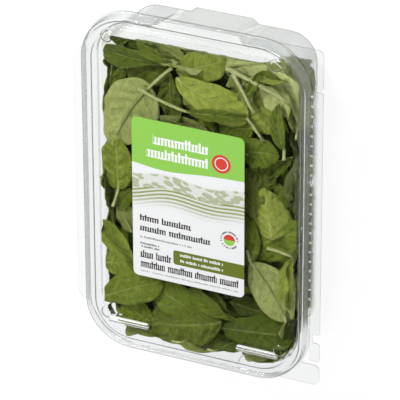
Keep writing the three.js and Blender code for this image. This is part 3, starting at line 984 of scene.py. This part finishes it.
def leaf_material():
    """Satin leaf: veins, a fine net and puckers drawn from each point's place on its own blade, with painted
    shade in the hollows between side veins and in the puckers' dips.
    """
    material, nodes, links, shader = new_material("spinach leaf")
    kit = NodeKit(material.node_tree)
    shader.inputs["Specular IOR Level"].default_value = 0.4
    shader.inputs["Coat Weight"].default_value = 0.25
    shader.inputs["Coat Roughness"].default_value = 0.2
    layers = []
    for layer in ("leaf_place", "leaf_look"):
        attribute = nodes.new("ShaderNodeAttribute")
        attribute.attribute_name = layer
        layers.append(kit.split(attribute.outputs["Vector"]))
    place, look = layers
    along = place["X"]
    across = kit.math("ABSOLUTE", place["Y"])
    under = kit.math("COMPARE", place["Z"], 1.0, 0.3)
    is_stalk = kit.math("GREATER_THAN", place["Z"], 1.5)
    tone = look["X"]
    pale = look["Y"]
    crinkle = look["Z"]
    blotch = kit.noise(40)
    pucker = kit.noise(210)
    waver = kit.times(kit.minus(kit.noise(120, 1), 0.5), 0.7)

    slant = kit.times(kit.math("POWER", across, 1.3), VEIN_SLANT)
    turn = kit.minus(kit.times(along, VEIN_PAIRS), slant)
    saw = kit.math("FRACT", kit.plus(turn, waver))
    ridge = kit.minus(0.5, kit.math("ABSOLUTE", kit.minus(saw, 0.5)))
    side_vein = kit.times(kit.step(ridge, 0.07, 0.0), kit.step(across, 0.98, 0.45))
    hollow = kit.times(kit.step(ridge, 0.3, 0.06), kit.step(across, 1.0, 0.4))
    midrib = kit.step(kit.plus(across, kit.times(along, 0.03)), 0.1, 0.02)
    vein = kit.math("MAXIMUM", midrib, kit.times(side_vein, 0.7), clamp=True)
    cells = nodes.new("ShaderNodeTexVoronoi")
    cells.feature = "DISTANCE_TO_EDGE"
    cells.inputs["Scale"].default_value = 420
    net = kit.step(cells.outputs["Distance"], 0.14, 0.0)

    shade = kit.plus(tone, kit.times(kit.minus(blotch, 0.5), 0.7))
    # Painted shade: darker in the hollows between side veins, and darker in the puckers' dips and lighter on
    # their tops
    shade = kit.minus(shade, kit.times(hollow, 0.06))
    sunken = kit.times(kit.minus(pucker, 0.5), crinkle)
    shade = kit.plus(shade, kit.times(sunken, 2.0), clamp=True)
    drawn_vein = kit.times(vein, VEIN_SHARE)
    upper = kit.ramp(shade, *UPPER_GREENS)
    upper = kit.mix(kit.times(net, 0.12), upper, UPPER_NET)
    upper = kit.mix(drawn_vein, upper, UPPER_VEIN)
    below = kit.ramp(shade, *LOWER_GREENS)
    below = kit.mix(kit.times(net, 0.16), below, LOWER_NET)
    below = kit.mix(drawn_vein, below, LOWER_VEIN)
    blade = kit.mix(under, upper, below)
    stalk_tone = kit.plus(blotch, kit.times(pale, 0.3))
    stalk = kit.ramp(stalk_tone, *STALK_GREENS)
    stalk = kit.mix(kit.step(along, 0.0, 0.35), stalk, kit.mix(0.35, below, stalk))
    links.new(kit.mix(is_stalk, blade, stalk), shader.inputs["Base Color"])

    rough = kit.plus(0.24, kit.times(blotch, 0.22))
    links.new(kit.plus(rough, kit.times(under, 0.12)), shader.inputs["Roughness"])
    swell = kit.times(pucker, kit.plus(1.2, kit.times(crinkle, 5.0)))
    relief = kit.plus(kit.times(vein, -0.5), swell)
    relief = kit.minus(relief, kit.times(hollow, 0.5))
    relief = kit.plus(relief, kit.times(net, -0.14))
    normal = kit.bump(relief, 1.0, 0.0016)
    links.new(normal, shader.inputs["Normal"])
    links.new(normal, shader.inputs["Coat Normal"])
    return material


leaf_green = leaf_material()
DARKEST_TONE = 0.15
LEAF_LENGTHS = (34, 60)
WALL_LEAF_LENGTHS = (34, 56)
END_MARGIN = 6


def random_look():
    """A leaf's tone from dark to light, how pale its stalk is and how crinkled its face is."""
    tone = DARKEST_TONE + (1 - DARKEST_TONE) * random.beta(1.6, 1.9)
    return (tone, random.uniform(0, 1), random.uniform(0, 0.5))


def scatter_flat(pile, z_low, z_high, count_x, count_y, tilt, underside_share, half_x=None, ends=None):
    """One layer of leaves lying roughly flat, on a jittered grid inside the walls or the bounds given."""
    for row in range(count_y):
        for column in range(count_x):
            z = random.uniform(z_low, z_high)
            length = random.uniform(*LEAF_LENGTHS)
            heading = random.uniform(0, 2 * math.pi)
            pitch = random.normal(0, tilt)
            forward = np.array([
                math.cos(heading) * math.cos(pitch), math.sin(heading) * math.cos(pitch), math.sin(pitch)
            ])
            reach_x = abs(forward[0]) * length / 2
            reach_y = abs(forward[1]) * length / 2
            widest = (half_x or RIM_HALF_WIDTH - wall_inset(z)) - reach_x * 0.9 - END_MARGIN
            x = (2 * (column + random.uniform(0.1, 0.9)) / count_x - 1) * widest
            low_y, high_y = ends or (wall_inset(z) - RIM_HALF_LENGTH, top_end(z, x))
            low_y += reach_y + END_MARGIN
            high_y -= reach_y + END_MARGIN
            y = low_y + (high_y - low_y) * (row + random.uniform(0.1, 0.9)) / count_y
            centre = np.array([x, y, z])
            lean = random.normal(0, tilt, 2)
            up = np.array([lean[0], lean[1], 1.0])
            if random.random() < underside_share:
                up = -up
            base = centre - forward * length / 2
            stalk = random.choice([0, 8, 14])
            end = base - forward * stalk + random.normal(0, 2, 3) if stalk else None
            lay_leaf(
                pile, base, centre + forward * length / 2, length * random.uniform(0.55, 0.8), up,
                leaf_shape(random), random_look(), end,
            )


def scatter_walls(pile, z, count, tilt):
    """Leaves standing against the walls, all round the heap."""
    ring = heap_ring(float(wall_inset(z)) + 3, z)[:, :2]
    closed = np.vstack([ring, ring[:1]])
    lengths = np.concatenate([[0], np.cumsum(np.linalg.norm(np.diff(closed, axis=0), axis=1))])
    for index in range(count):
        at = lengths[-1] * (index + random.uniform(0.1, 0.9)) / count
        x = np.interp(at, lengths, closed[:, 0])
        y = np.interp(at, lengths, closed[:, 1])
        ahead = np.interp((at + 3) % lengths[-1], lengths, closed[:, 0]) - x
        aside = np.interp((at + 3) % lengths[-1], lengths, closed[:, 1]) - y
        tangent = np.array([ahead, aside, 0]) / max(math.hypot(ahead, aside), 1e-6)
        outward = np.array([tangent[1], -tangent[0], 0.0])
        length = random.uniform(*WALL_LEAF_LENGTHS)
        slant = random.uniform(0, 2 * math.pi)
        forward = tangent * math.cos(slant) + np.array([0, 0, 1.0]) * math.sin(slant) * 0.8
        forward /= np.linalg.norm(forward)
        centre = np.array([x, y, z + random.uniform(-5, 5)])
        up = outward + np.array([0, 0, -0.2]) + random.normal(0, tilt, 3)
        if random.random() < 0.4:
            up = -up
        base = centre - forward * length / 2
        lay_leaf(
            pile, base, centre + forward * length / 2, length * random.uniform(0.55, 0.75), up,
            leaf_shape(random), random_look(), base - forward * 10 if random.random() < 0.5 else None,
        )


def under_pixel(pixel, height):
    """The point at a height that the camera sees at a pixel of the picture, in millimetres."""
    focal = CAMERA_LENS / SENSOR_WIDTH * PICTURE_SIZE
    right, down = (value - PICTURE_SIZE / 2 for value in pixel)
    ray = view_right * right - view_up * down - toward_camera * focal
    eye = (CAMERA_TARGET + toward_camera * CAMERA_DISTANCE) / MM
    return np.array(eye + ray * ((height - eye.z) / ray.z))


# How the listed leaves differ from a plain one
FORMS = {
    "plain": {},
    "flat": {"fold": 0.05, "bend": 0.08, "twist": 0.0, "cup": 0.05, "quilt": 0.4, "ruffle": 0.7},
    "round": {"base_fullness": 0.5, "tip_fullness": 0.5, "fold": 0.1, "twist": 0.1},
    "spoon": {
        "base_fullness": 1.7, "tip_fullness": 0.4, "fold": 0.3, "twist": 0.1, "quilt": 0.3, "curve": -0.3,
    },
    "slim": {"base_fullness": 0.8, "tip_fullness": 0.8, "fold": 0.35, "twist": 0.2, "ruffle": 0.5},
    "folded": {"fold": 0.85, "twist": 0.3, "bend": 0.2},
    "tent": {
        "base_fullness": 0.45, "tip_fullness": 0.75, "fold": -0.3, "twist": 0.0, "bend": 0.1, "ruffle": 0.6,
    },
    "crinkled": {"quilt": 1.4, "pucker": 1.3, "ruffle": 1.8, "fold": 0.1, "twist": 0.1, "bend": 0.1},
    "lobed": {"lobes": 0.75, "lobe_count": 2.2, "base_fullness": 0.6, "tip_fullness": 0.5, "fold": 0.1},
}
# Each row: the pixels where the picture shows the stalk's end (or None), the blade's base and its tip, then
# the blade's width and height in the pack in mm, its tone from dark to light, the face that shows, its form
SHOWN_LEAVES = [
    # the top left corner
    (None, (163, 44), (110, 37), 15, 47, 0.02, "upper", "flat"),
    (None, (196, 56), (156, 39), 14, 50, 0.45, "upper", "crinkled"),
    (None, (186, 62), (158, 46), 13, 54, 0.4, "lower", "plain"),
    (None, (112, 64), (106, 116), 13, 48, 0.05, "upper", "flat"),
    (None, (124, 68), (117, 88), 11, 52, 0.5, "upper", "round"),
    # painted shade: a dark leaf where the spoon leaf shades those below it
    (None, (158, 64), (112, 62), 15, 54, 0.08, "upper", "flat"),
    (None, (172, 78), (126, 66), 22, 55, 0.5, "upper", "crinkled"),
    ((178, 64), (172, 61), (137, 41), 10, 60, 0.5, "upper", "slim"),
    ((179, 68), (174, 65), (103, 50), 19, 61, 0.2, "upper", "spoon"),
    (None, (170, 74), (177, 122), 19, 57, 0.45, "upper", "crinkled"),
    (None, (181, 88), (201, 114), 8, 58, 0.7, "upper", "folded"),
    ((172, 68), (151, 86), (112, 145), 47, 61, 0.68, "lower", "flat"),
    ((138, 88), (186, 112), (247, 116), 11, 63, 0.35, "upper", "slim"),
    # the top middle
    (None, (228, 54), (201, 50), 9, 49, 0.02, "upper", "flat"),
    (None, (176, 70), (225, 59), 29, 58, 0.7, "upper", "flat"),
    (None, (226, 66), (266, 63), 27, 58.5, 1.0, "lower", "flat"),
    (None, (176, 78), (249, 117), 30, 61, 0.82, "upper", "flat"),
    # the top right corner
    (None, (260, 88), (263, 134), 29, 56, 0.8, "upper", "flat"),
    (None, (281, 82), (257, 76), 12, 58, 0.35, "upper", "flat"),
    (None, (264, 76), (296, 116), 34, 57.5, 0.95, "lower", "flat"),
    ((284, 160), (284, 150), (279, 104), 13, 60, 0.5, "upper", "slim"),
    ((254, 113), (251, 106), (230, 69), 21, 63, 0.4, "lower", "lobed"),
    (None, (245, 97), (259, 72), 8, 63, 0.5, "upper", "slim"),
    ((264, 141), (252, 128), (219, 127), 24, 57, 0.4, "upper", "round"),
    # down the right side
    (None, (292, 158), (273, 172), 15, 54, 0.3, "upper", "folded"),
    (None, (268, 202), (266, 165), 19, 55, 0.4, "upper", "crinkled"),
    (None, (254, 218), (251, 167), 22, 57, 0.8, "upper", "crinkled"),
    (None, (238, 154), (279, 157), 25, 60, 0.36, "upper", "round"),
    (None, (290, 206), (278, 184), 12, 57, 0.45, "upper", "folded"),
    (None, (272, 240), (264, 188), 34, 60, 0.9, "upper", "tent"),
    (None, (236, 254), (305, 230), 36, 55, 0.42, "upper", "flat"),
    (None, (244, 258), (274, 252), 10, 57, 0.42, "upper", "flat"),
    (None, (292, 258), (287, 312), 13, 57, 0.9, "upper", "plain"),
    ((247, 250), (251, 262), (288, 321), 35, 61, 0.72, "lower", "flat"),
    # the foot of the right side
    (None, (291, 318), (284, 352), 13, 55, 0.1, "upper", "plain"),
    (None, (291, 350), (243, 354), 26, 50, 0.45, "upper", "plain"),
    (None, (281, 350), (287, 372), 5, 55, 0.7, "lower", "slim"),
    (None, (230, 302), (278, 318), 23, 55, 0.25, "upper", "crinkled"),
    (None, (221, 328), (294, 338), 31, 58, 0.22, "upper", "plain"),
    # along the foot
    (None, (204, 314), (156, 284), 31, 56, 0.42, "upper", "flat"),
    (None, (229, 316), (214, 292), 9, 57, 0.6, "upper", "slim"),
    (None, (234, 320), (190, 288), 18, 59, 0.4, "upper", "folded"),
    (None, (230, 342), (206, 340), 14, 52, 0.3, "upper", "plain"),
    (None, (222, 322), (150, 322), 42, 60, 0.62, "upper", "crinkled"),
    (None, (152, 322), (124, 300), 23, 56, 0.5, "upper", "flat"),
    (None, (112, 312), (93, 307), 13, 52, 0.25, "upper", "crinkled"),
    (None, (142, 321), (110, 325), 16, 50, 0.5, "upper", "plain"),
    # up the left side
    (None, (101, 298), (163, 282), 30, 60, 0.5, "upper", "flat"),
    (None, (102, 262), (142, 261), 24, 57, 0.65, "upper", "plain"),
    (None, (136, 264), (100, 222), 27, 61, 0.55, "upper", "folded"),
    (None, (132, 232), (118, 206), 20, 57, 0.6, "lower", "plain"),
    (None, (136, 188), (118, 208), 14, 56, 0.5, "upper", "plain"),
    (None, (114, 224), (102, 191), 12, 52, 0.18, "upper", "plain"),
    (None, (104, 148), (102, 192), 12, 50, 0.03, "upper", "flat"),
    ((113, 206), (118, 189), (116, 138), 29, 59, 0.6, "upper", "flat"),
]
# Loose stalks: the pixels of both ends, then the height in the pack and the radius in mm
STALK_PIECES = [
    ((267, 248), (292, 257), 64.8, 1.3),
    ((247, 118), (262, 140), 62, 1.0),
    ((226, 68), (290, 103), 64.6, 1.7),
    ((233, 74), (253, 112), 65, 1.6),
]
SHOWN_LEAN = (0.05, 0.08)
SHOWN_STALK_RADIUS = 1.35
LOOSE_STALK_LOOK = (0.8, 1, 0.5)
LOOSE_STALK_STEPS = 6
LOOSE_STALK_SIDES = 9
LOOSE_STALK_SAG = 0.8


def lay_shown_leaves(pile):
    """The leaves and stalks that show through the lid, each leaf with random draws of its own."""
    for index, (end, base, tip, width, height, tone, face, form) in enumerate(SHOWN_LEAVES):
        draw = np.random.default_rng(index)
        lean = draw.normal(0, 0.04, 2) + SHOWN_LEAN
        up = np.array([*lean, 1.0])
        if face == "lower":
            up = -up
        stalk_end = under_pixel(end, height + 1.5) if end else None
        crinkle = 1.0 if form == "crinkled" else draw.uniform(0, 0.35)
        look = (tone, draw.uniform(0, 1), crinkle)
        lay_leaf(
            pile, under_pixel(base, height), under_pixel(tip, height - 1), width, up,
            leaf_shape(draw, **FORMS[form]), look, stalk_end, SHOWN_STALK_RADIUS, rows=30, columns=15,
        )
    t = np.linspace(0, 1, LOOSE_STALK_STEPS)
    for start, end, height, radius in STALK_PIECES:
        route = np.outer(1 - t, under_pixel(start, height)) + np.outer(t, under_pixel(end, height - 1))
        route[:, 2] -= np.sin(t * math.pi) * LOOSE_STALK_SAG
        shares = np.full(LOOSE_STALK_STEPS, -0.6)
        add_stalk(pile, route, radius * (1.1 - 0.3 * t), shares, LOOSE_STALK_LOOK, LOOSE_STALK_SIDES)


# The core's outline: how far inside the rim's edge it lies at each height
CORE_LEVELS = [(32, 8), (27, 12), (24, 26), (22, 40), (25, 45), (31, 47)]
CORE_GREENS = [(0.01, 0.02, 0.003), (0.04, 0.075, 0.01)]


def make_core():
    """The dark middle of the heap, which shows only as shade between leaves."""
    material, nodes, links, shader = new_material("deep leaf shade")
    kit = NodeKit(material.node_tree)
    patches = nodes.new("ShaderNodeTexVoronoi")
    patches.inputs["Scale"].default_value = 60
    links.new(kit.ramp(patches.outputs["Distance"], *CORE_GREENS), shader.inputs["Base Color"])
    shader.inputs["Roughness"].default_value = 0.7
    shader.inputs["Specular IOR Level"].default_value = 0.1
    core = plain_mesh("leaf_core", *loft([heap_ring(inset, z) for inset, z in CORE_LEVELS]), material)
    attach(core, "root")
    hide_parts("leaves")


# Leaves against the walls: the height, how many go round, and how much they lean
WALL_ROWS = [(7, 34, 0.1), (14, 28, 0.12), (28, 30, 0.12), (44, 30, 0.15)]


def make_leaves():
    """The core, the leaves that show, the leaves at the walls and the leaves that fill the gaps."""
    make_core()
    shown = LeafPile()
    lay_shown_leaves(shown)
    shown.build("leaves_on_top", leaf_green)
    walls = LeafPile()
    scatter_flat(walls, 3, 9, 4, 7, 0.1, 0.5)
    for wall_row in WALL_ROWS:
        scatter_walls(walls, *wall_row)
    walls.build("leaves_at_walls", leaf_green)
    middle = LeafPile()
    scatter_flat(middle, 39, 43, 5, 8, 0.12, 0.3)
    scatter_flat(middle, 44, 48, 5, 8, 0.1, 0.35)
    label_ends = (LABEL_CENTRE[1] - LABEL_HALF[1] - 4, LABEL_CENTRE[1] + LABEL_HALF[1] + 2)
    scatter_flat(middle, 54, 60, 4, 5, 0.1, 0.35, half_x=LABEL_HALF[0] + 6, ends=label_ends)
    middle.build("leaves_inside", leaf_green)


make_leaves()

# The label
# A satin coated paper label stuck on the lid's panel: a green field with a wavy edge above an off-white
# one, a faint drawn band of leaves over furrows, and plain notched bars, a band and discs as print.
# Places on it are in mm from its centre.
LABEL_RADIUS = 4.5
LABEL_BOTTOM = RIM_TOP + 0.32
LABEL_TOP = RIM_TOP + 0.6
PAPER = (0.6, 0.605, 0.61)
FIELD_GREEN = (0.195, 0.425, 0.055)
INK_BLACK = (0.015, 0.015, 0.015)
INK_GREY = (0.16, 0.16, 0.16)
INK_OLIVE = (0.1, 0.13, 0.008)
INK_RED = (0.48, 0.03, 0.012)
INK_WHITE = (0.64, 0.645, 0.65)
# The green field's lower edge: shares of the label's width and heights on it in mm
FIELD_EDGE = [(0, 31.8), (0.28, 26.4), (0.6, 31.2), (1, 33.4)]
# Bars of print: left, right, middle, height, stroke pitch and ink
PRINT_BARS = [
    (-29.8, 17.3, 53.4, 11.0, 2.9, INK_WHITE),
    (-35.5, 17.3, 41.2, 11.0, 2.9, INK_WHITE),
    (-41.9, -25.5, -18.5, 7.0, 2.1, INK_BLACK),
    (-22.8, 2.6, -18.5, 7.0, 2.1, INK_BLACK),
    (-41.9, -19.5, -27.7, 7.0, 2.1, INK_BLACK),
    (-16.8, 19.2, -27.7, 7.0, 2.1, INK_BLACK),
    (-41.8, 2.9, -35.5, 2.4, 1.1, INK_GREY),
    (-41.8, -25.0, -41.2, 2.4, 1.1, INK_BLACK),
    (-41.8, -25.0, -44.1, 2.4, 1.1, INK_BLACK),
    (-41.8, -30.6, -51.5, 8.4, 1.9, INK_BLACK),
    (-28.0, -14.9, -51.5, 8.4, 1.9, INK_BLACK),
    (-41.8, -20.5, -60.4, 8.4, 1.8, INK_BLACK),
    (-18.2, 3.5, -60.4, 8.4, 1.8, INK_BLACK),
    (5.6, 24.5, -60.4, 8.4, 1.8, INK_BLACK),
    (26.8, 43.2, -60.4, 8.4, 1.8, INK_BLACK),
    (-41.8, 43.2, -66.4, 1.4, 0.9, INK_GREY),
]
BAND_CENTRE = (20, -47.6)
BAND_HALF = (33, 6.4)
BAND_RADIUS = 2.2
BAND_BARS = [(-7.5, 31, -44.9, 3.2, 1.2, INK_WHITE), (-7.5, 30, -50.2, 3.2, 1.2, INK_WHITE)]
# Fine bars have gaps: the share of strokes left out, and the pitch below which a bar is fine
GAP_SHARE = 0.1
GAP_PITCH = 1.5
SPOT_CENTRE = (28.5, 44.7)
SPOT_DISCS = [(8, INK_RED), (5.76, INK_WHITE), (4.96, INK_RED)]
BADGE_CENTRE = (35.3, -21.4)
BADGE_RINGS = (7.9, 6.4, 4.9)
# A notched bar, as shares of its height and pitch
SHORT_STROKE = 0.3
TALLER_BY = 0.2
TALL_FROM = 0.75
STROKE_HALF = 0.31
JOINT_AT = 0.24
JOINT_HALF = 0.06
JOINT_TOP_FROM = 0.4
# The drawn band, whose levels are heights on the label that follow a shallow wave
WAVE_TURN = 0.09
WAVE_RISE = 2.2
HEDGE_TOP = (23.5, 21.5)
HEDGE_FOOT = (9.0, 11.0)
FURROW_TOP = (11.0, 9.5)
FURROW_FOOT = (-9.0, 4.0)
FURROW_TURN = 1.9
FURROW_BEND = 0.025
FURROW_MIDDLE = 12
DRAWING_INK = (0.15, 0.2, 0.012)


def word_group():
    """A notched bar: upright strokes joined along the top or along the foot, with gaps if asked for."""
    names = ("X", "Y", "Left", "Right", "Middle", "Height", "Pitch", "Seed", "Gaps")
    tree, kit, given, taken = group_of("notched bar", names, "Mask")
    turn = kit.plus(kit.math("DIVIDE", given["X"], given["Pitch"]), given["Seed"])
    chance = kit.nodes.new("ShaderNodeTexWhiteNoise")
    chance.noise_dimensions = "1D"
    kit.feed(chance.inputs["W"], kit.math("FLOOR", turn))
    draws = kit.nodes.new("ShaderNodeSeparateColor")
    kit.feed(draws.inputs["Color"], chance.outputs["Color"])
    rise = kit.minus(given["Y"], given["Middle"])
    share = kit.math("DIVIDE", rise, given["Height"])
    is_tall = kit.math("GREATER_THAN", draws.outputs[0], TALL_FROM)
    top = kit.plus(SHORT_STROKE, kit.times(is_tall, TALLER_BY))
    below_top = kit.math("LESS_THAN", share, top)
    in_height = kit.times(below_top, kit.math("GREATER_THAN", share, -SHORT_STROKE))
    off_middle = kit.math("ABSOLUTE", kit.minus(kit.math("FRACT", turn), 0.5))
    stroke = kit.math("LESS_THAN", off_middle, STROKE_HALF)
    joined_on_top = kit.math("GREATER_THAN", draws.outputs[2], JOINT_TOP_FROM)
    side = kit.minus(kit.times(joined_on_top, 2.0), 1.0)
    joint = kit.math("COMPARE", kit.times(share, side), JOINT_AT, JOINT_HALF)
    body = kit.times(kit.math("MAXIMUM", stroke, joint), in_height)
    printed = kit.math("GREATER_THAN", chance.outputs["Value"], given["Gaps"])
    past_left = kit.math("GREATER_THAN", given["X"], given["Left"])
    ends = kit.times(past_left, kit.math("LESS_THAN", given["X"], given["Right"]))
    kit.feed(taken, kit.times(kit.times(body, printed), ends))
    return tree


def drawn_band(kit, x, y, paper):
    """The faint drawing: a hedge of leaf ovals over curved furrows, in olive ink, fading out below."""
    wave = kit.math("SINE", kit.times(x, WAVE_TURN))
    level = kit.plus(y, kit.times(wave, WAVE_RISE))
    stretch = kit.nodes.new("ShaderNodeCombineXYZ")
    slanted = kit.plus(kit.times(x, 0.12), kit.times(level, 0.07))
    kit.feed(stretch.inputs["X"], slanted)
    kit.feed(stretch.inputs["Y"], kit.times(level, 0.2))
    ovals = kit.nodes.new("ShaderNodeTexVoronoi")
    ovals.inputs["Scale"].default_value = 1
    ovals.inputs["Randomness"].default_value = 0.8
    kit.feed(ovals.inputs["Vector"], stretch.outputs["Vector"])
    oval = kit.step(ovals.outputs["Distance"], 0.62, 0.52)
    shade = kit.step(ovals.outputs["Distance"], 0.1, 0.5)
    hatch_turn = kit.plus(kit.times(x, 5.2), kit.times(level, 7.0))
    hatch = kit.step(kit.math("SINE", hatch_turn), -0.3, 0.6)
    leaf_ink = kit.plus(0.35, kit.times(hatch, shade))
    hedge = kit.times(oval, leaf_ink, clamp=True)
    hedge_zone = kit.times(kit.step(level, *HEDGE_TOP), kit.step(level, *HEDGE_FOOT))
    aside = kit.math("ABSOLUTE", kit.minus(x, FURROW_MIDDLE))
    bend = kit.times(kit.math("POWER", aside, 1.5), FURROW_BEND)
    furrow = kit.plus(kit.times(level, FURROW_TURN), bend)
    rough = kit.times(kit.minus(kit.noise(900), 0.5), 2.5)
    row = kit.step(kit.math("SINE", kit.plus(furrow, rough)), -0.5, 0.5)
    furrow_zone = kit.times(kit.step(level, *FURROW_TOP), kit.step(level, *FURROW_FOOT))
    drawn = kit.times(hedge, hedge_zone)
    ploughed = kit.times(row, kit.times(furrow_zone, 0.9))
    haze = kit.times(kit.plus(hedge_zone, furrow_zone), 0.2)
    ink = kit.math("MAXIMUM", kit.plus(drawn, ploughed), haze, clamp=True)
    return kit.mix(ink, paper, DRAWING_INK)


def label_material():
    """Printed paper: the drawing lies under the field, and the bars, band and discs lie over both."""
    material, nodes, links, shader = new_material("label print")
    kit = NodeKit(material.node_tree)
    patch = patch_group()
    words = word_group()
    x, y = [kit.minus(value, centre) for value, centre in zip(place_in_mm(kit), LABEL_CENTRE)]
    edge = [(share, (height / LABEL_HALF[1],) * 3) for share, height in FIELD_EDGE]
    from_left = kit.plus(kit.math("DIVIDE", x, 2 * LABEL_HALF[0]), 0.5)
    edge_height = kit.times(kit.placed_ramp(from_left, edge, "B_SPLINE"), LABEL_HALF[1])
    colour = drawn_band(kit, x, y, PAPER)
    colour = kit.mix(kit.math("GREATER_THAN", y, edge_height), colour, FIELD_GREEN)
    band = place_group(kit, patch, x, y, *BAND_CENTRE, *BAND_HALF, BAND_RADIUS)
    colour = kit.mix(band, colour, INK_OLIVE)
    for index, (*bar, ink) in enumerate(PRINT_BARS + BAND_BARS):
        gaps = GAP_SHARE if bar[-1] < GAP_PITCH else 0
        colour = kit.mix(place_group(kit, words, x, y, *bar, 17.0 * index + 3, gaps), colour, ink)
    for radius, ink in SPOT_DISCS:
        disc = place_group(kit, patch, x, y, *SPOT_CENTRE, radius, radius, radius)
        colour = kit.mix(disc, colour, ink)
    ticks = nodes.new("ShaderNodeTexWhiteNoise")
    ticks.noise_dimensions = "1D"
    badge_x = kit.minus(x, BADGE_CENTRE[0])
    badge_y = kit.minus(y, BADGE_CENTRE[1])
    angle = kit.math("ARCTAN2", badge_y, badge_x)
    kit.feed(ticks.inputs["W"], kit.math("FLOOR", kit.times(angle, 7)))
    ticked = kit.mix(kit.math("GREATER_THAN", ticks.outputs["Value"], 0.3), PAPER, INK_GREY)
    halves = kit.mix(kit.math("GREATER_THAN", y, BADGE_CENTRE[1]), FIELD_GREEN, INK_RED)
    for radius, ink in zip(BADGE_RINGS, (ticked, PAPER, halves)):
        disc = place_group(kit, patch, x, y, *BADGE_CENTRE, radius, radius, radius)
        colour = kit.mix(disc, colour, ink)
    fibre = kit.noise(2600, 3)
    flecks = kit.plus(0.97, kit.times(fibre, 0.06))
    links.new(kit.mix(1, colour, flecks, "MULTIPLY"), shader.inputs["Base Color"])
    satin = kit.plus(0.3, kit.times(kit.noise(300), 0.15))
    links.new(satin, shader.inputs["Roughness"])
    links.new(kit.bump(fibre, 0.15, 0.0002), shader.inputs["Normal"])
    return material


def make_label():
    """A thin rounded rectangle of paper that lies on the lid's panel."""
    outline = rounded_outline(*LABEL_HALF, LABEL_RADIUS, corner_steps=8) + LABEL_CENTRE
    rings = [at_height(outline, z) for z in (LABEL_BOTTOM, LABEL_TOP)]
    label = plain_mesh("label_paper", *loft(rings), label_material(), smooth=False)
    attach(label, "root")
    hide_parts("label")


make_label()
